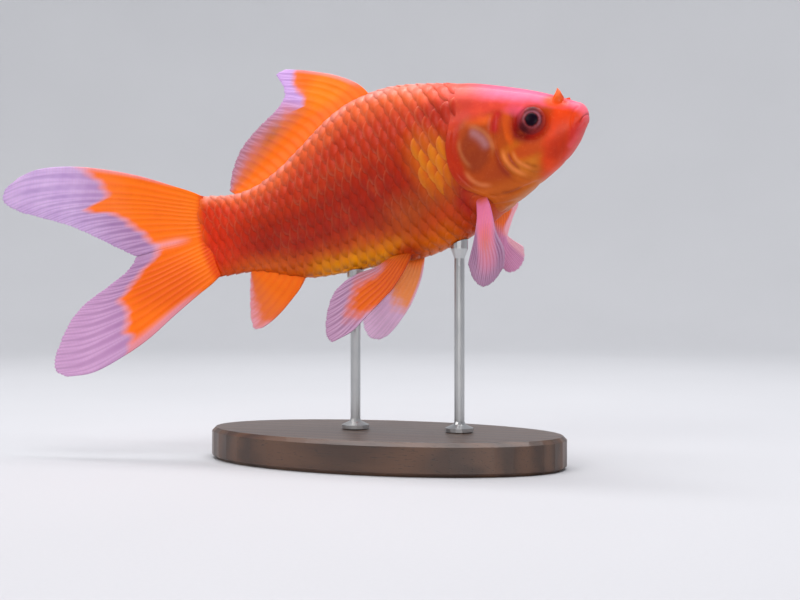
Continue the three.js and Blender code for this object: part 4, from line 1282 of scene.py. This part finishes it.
def makeFlap(name, side, material):
    mesh = doubleSheet(name, flap["along"], flap["high"])
    across, up, sheet = coordinates(mesh).T
    across, up, sheet = (across + 1) / 2, (up + 1) / 2, sheet * 2 - 1
    reach = up * (flap["farShare"] if side > 0 else 1)
    front, rear = throughPoints(flap["front"]), throughPoints(flap["rear"])
    foot = mix(front(up * 0), rear(up * 0), across[:, None])
    s, z, _ = mix(front(reach), rear(reach), across[:, None]).T
    bulge = np.sin(across * math.pi)
    z = z - bulge * (1 - up) ** 2
    y = mix(skinSide(foot[:, 0], foot[:, 1]), flap["top"], reach) + 0.2 * bulge * np.sin(up * 2.6)
    held = np.maximum(1 - ease(0.05, 0.6, up), (1 - bulge) * (1 - ease(0.25, 0.65, up)))
    y = mix(y, skinSide(s, z) - flap["sunk"], held)
    grown = headMarkings(np.zeros((len(s), 3)), s, y, z)
    setPaint(mesh, layered(grown, [("flapTip", ease(0.2, 0.6, up) * 0.9)]))
    y = y + sheet * flap["thick"] * (1 - 0.7 * up) * (0.3 + 0.7 * bulge) / 2
    points = np.column_stack([s, side * y, z])
    show(name, mesh, points, material, (name.replace("leaf", "nostril_flap"),))


# stand
def woodMaterial():
    shader = Shader("dark oiled wood", {"Specular IOR Level": 0.5, "Coat Roughness": 0.3})
    place = shader.place()
    stretched = shader.stretched(place, (26, 150, 150))
    warp = shader.noise(stretched, 1.0, 4, 0.6)
    rings = shader.node("ShaderNodeTexWave", {"wave_type": "BANDS", "bands_direction": "Y"},
                        {"Vector": stretched, "Scale": 0.35, "Distortion": 5.0, "Detail": 3.0,
                         "Detail Scale": 1.4})
    pores = shader.noise(shader.stretched(place, (220, 2600, 2600)), 1.0, 2)
    grain = shader.blend(rings * 0.7 + warp * 0.3, rgba((52, 34, 24)), rgba((92, 62, 42)))
    worn = shader.blend(pores.clamped(0.58, 0.72) * 0.6, grain, rgba((30, 20, 15)))
    height = rings * 0.3 - pores.clamped(0.58, 0.72) * 0.7
    return shader.feed(colour=worn, roughness=0.34 + 0.18 * warp, coat=0.25 + 0.2 * warp,
                       normal=shader.bump(height, 0.3, 0.0002))


def steelMaterial():
    shader = Shader("brushed steel", {"Metallic": 1.0, "Specular IOR Level": 0.5})
    place = shader.place()
    brushed = shader.noise(shader.stretched(place, (3200, 3200, 90)), 1.0, 3)
    smudge = shader.noise(place, 110, 3)
    colour = shader.blend(smudge, rgba((176, 178, 180)), rgba((204, 204, 202)))
    return shader.feed(colour=colour, roughness=0.2 + 0.14 * brushed + 0.1 * smudge,
                       normal=shader.bump(brushed, 0.12, 0.00005))


# stage
studio = {
    "floor": 0.8, "bend": 0.6, "wall": 1.9, "flatRings": 6, "bendRings": 12, "sides": 96,
    "camera": (0.1133, -0.3315, 0.0510), "cameraTurn": math.radians(18), "lens": 50, "sensor": 36,
    "sky": (0.90, 0.93, 1.0), "skyStrength": 0.5, "clipStart": 0.01,
    # name, place, target, size, power, tint
    "lights": [
        ("overhead", (0.0, -0.05, 0.85), (0, 0, 0.08), (1.0, 0.6), 7.5, (1.0, 0.98, 1.0)),
        ("front", (-0.45, -0.8, 0.62), (0, 0, 0.09), (0.5, 0.4), 3.2, (1.0, 0.97, 0.94)),
        ("fill", (0.5, -0.85, 0.24), (0.02, 0, 0.09), (0.4, 0.3), 2.2, (1.0, 0.97, 0.95)),
        ("backdrop", (0.0, 0.25, 1.15), (0, 1.1, 0.35), (1.4, 0.4), 9.0, (1.0, 1.0, 1.0)),
    ],
}


def makeSweep():
    floor, bend, flat, bent = [studio[key] for key in ("floor", "bend", "flatRings", "bendRings")]
    profile = [(floor * i / flat, 0) for i in range(flat + 1)]
    for i in range(1, bent + 1):
        turn = math.pi / 2 * i / bent
        profile.append((floor + bend * math.sin(turn), bend * (1 - math.cos(turn))))
    mesh = spun("sweep", profile + [(floor + bend, studio["wall"])], studio["sides"])
    mesh.shade_smooth()
    shader = Shader("paper sweep", {"Specular IOR Level": 0.2})
    fibre = shader.noise(shader.place(), 900, 3)
    cloud = shader.noise(shader.place(), 6, 2)
    colour = shader.blend(fibre * 0.4 + cloud * 0.6, rgba((186, 187, 190)), rgba((196, 197, 200)))
    mesh.materials.append(shader.feed(colour=colour, roughness=0.8 + 0.1 * fibre))
    sweep = bpy.data.objects.new("sweep", mesh)
    bpy.context.scene.collection.objects.link(sweep)


def softLight(name, place, target, size, power, tint):
    light = bpy.data.lights.new(name, "AREA")
    light.shape = "RECTANGLE"
    light.size, light.size_y = size
    light.energy = power
    light.color = tint
    holder = bpy.data.objects.new(name, light)
    bpy.context.scene.collection.objects.link(holder)
    holder.location = place
    holder.rotation_euler = (Vector(target) - Vector(place)).to_track_quat("-Z", "Y").to_euler()


def makeStudio():
    scene = bpy.context.scene
    world = bpy.data.worlds.new("studio")
    scene.world = world
    world.use_nodes = True
    background = world.node_tree.nodes["Background"]
    background.inputs["Color"].default_value = (*studio["sky"], 1)
    background.inputs["Strength"].default_value = studio["skyStrength"]
    for light in studio["lights"]:
        softLight(*light)
    lens = bpy.data.cameras.new("camera")
    lens.lens, lens.sensor_width = studio["lens"], studio["sensor"]
    lens.clip_start = studio["clipStart"]
    camera = bpy.data.objects.new("camera", lens)
    camera.location = studio["camera"]
    camera.rotation_euler = (math.pi / 2, 0, studio["cameraTurn"])
    scene.collection.objects.link(camera)
    scene.camera = camera
    scene.view_settings.view_transform = "Standard"


makeSweep()
makeStudio()
print("studio ready")

rng = np.random.default_rng(7)
makeSkin(skinMaterial())
overlay = scaleMaterial()
places = scalePlaces()
makeScales("scales_left", places, 1, 0.0, overlay, rng)
makeScales("scales_right", places, -1, 0.0, overlay, rng)
makeScales("scales_midline", midlinePlaces(), 1, 0.1, overlay, rng)
membrane = finMaterial()
for name, fin in fins.items():
    makeFin(name, fin, membrane)
eyeFinish = eyeMaterial()
flapFinish = skinMaterial()
for end, side in (("left", 1), ("right", -1)):
    makeEye("globe_" + end, side, eyeFinish)
    makeFlap("leaf_" + end, side, flapFinish)
print("fish ready")

wood, steel = woodMaterial(), steelMaterial()
for node, material in (("stand_base", wood), ("stand_rod_front", steel), ("stand_rod_rear", steel)):
    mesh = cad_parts[node].data
    mesh.materials.clear()
    mesh.materials.append(material)
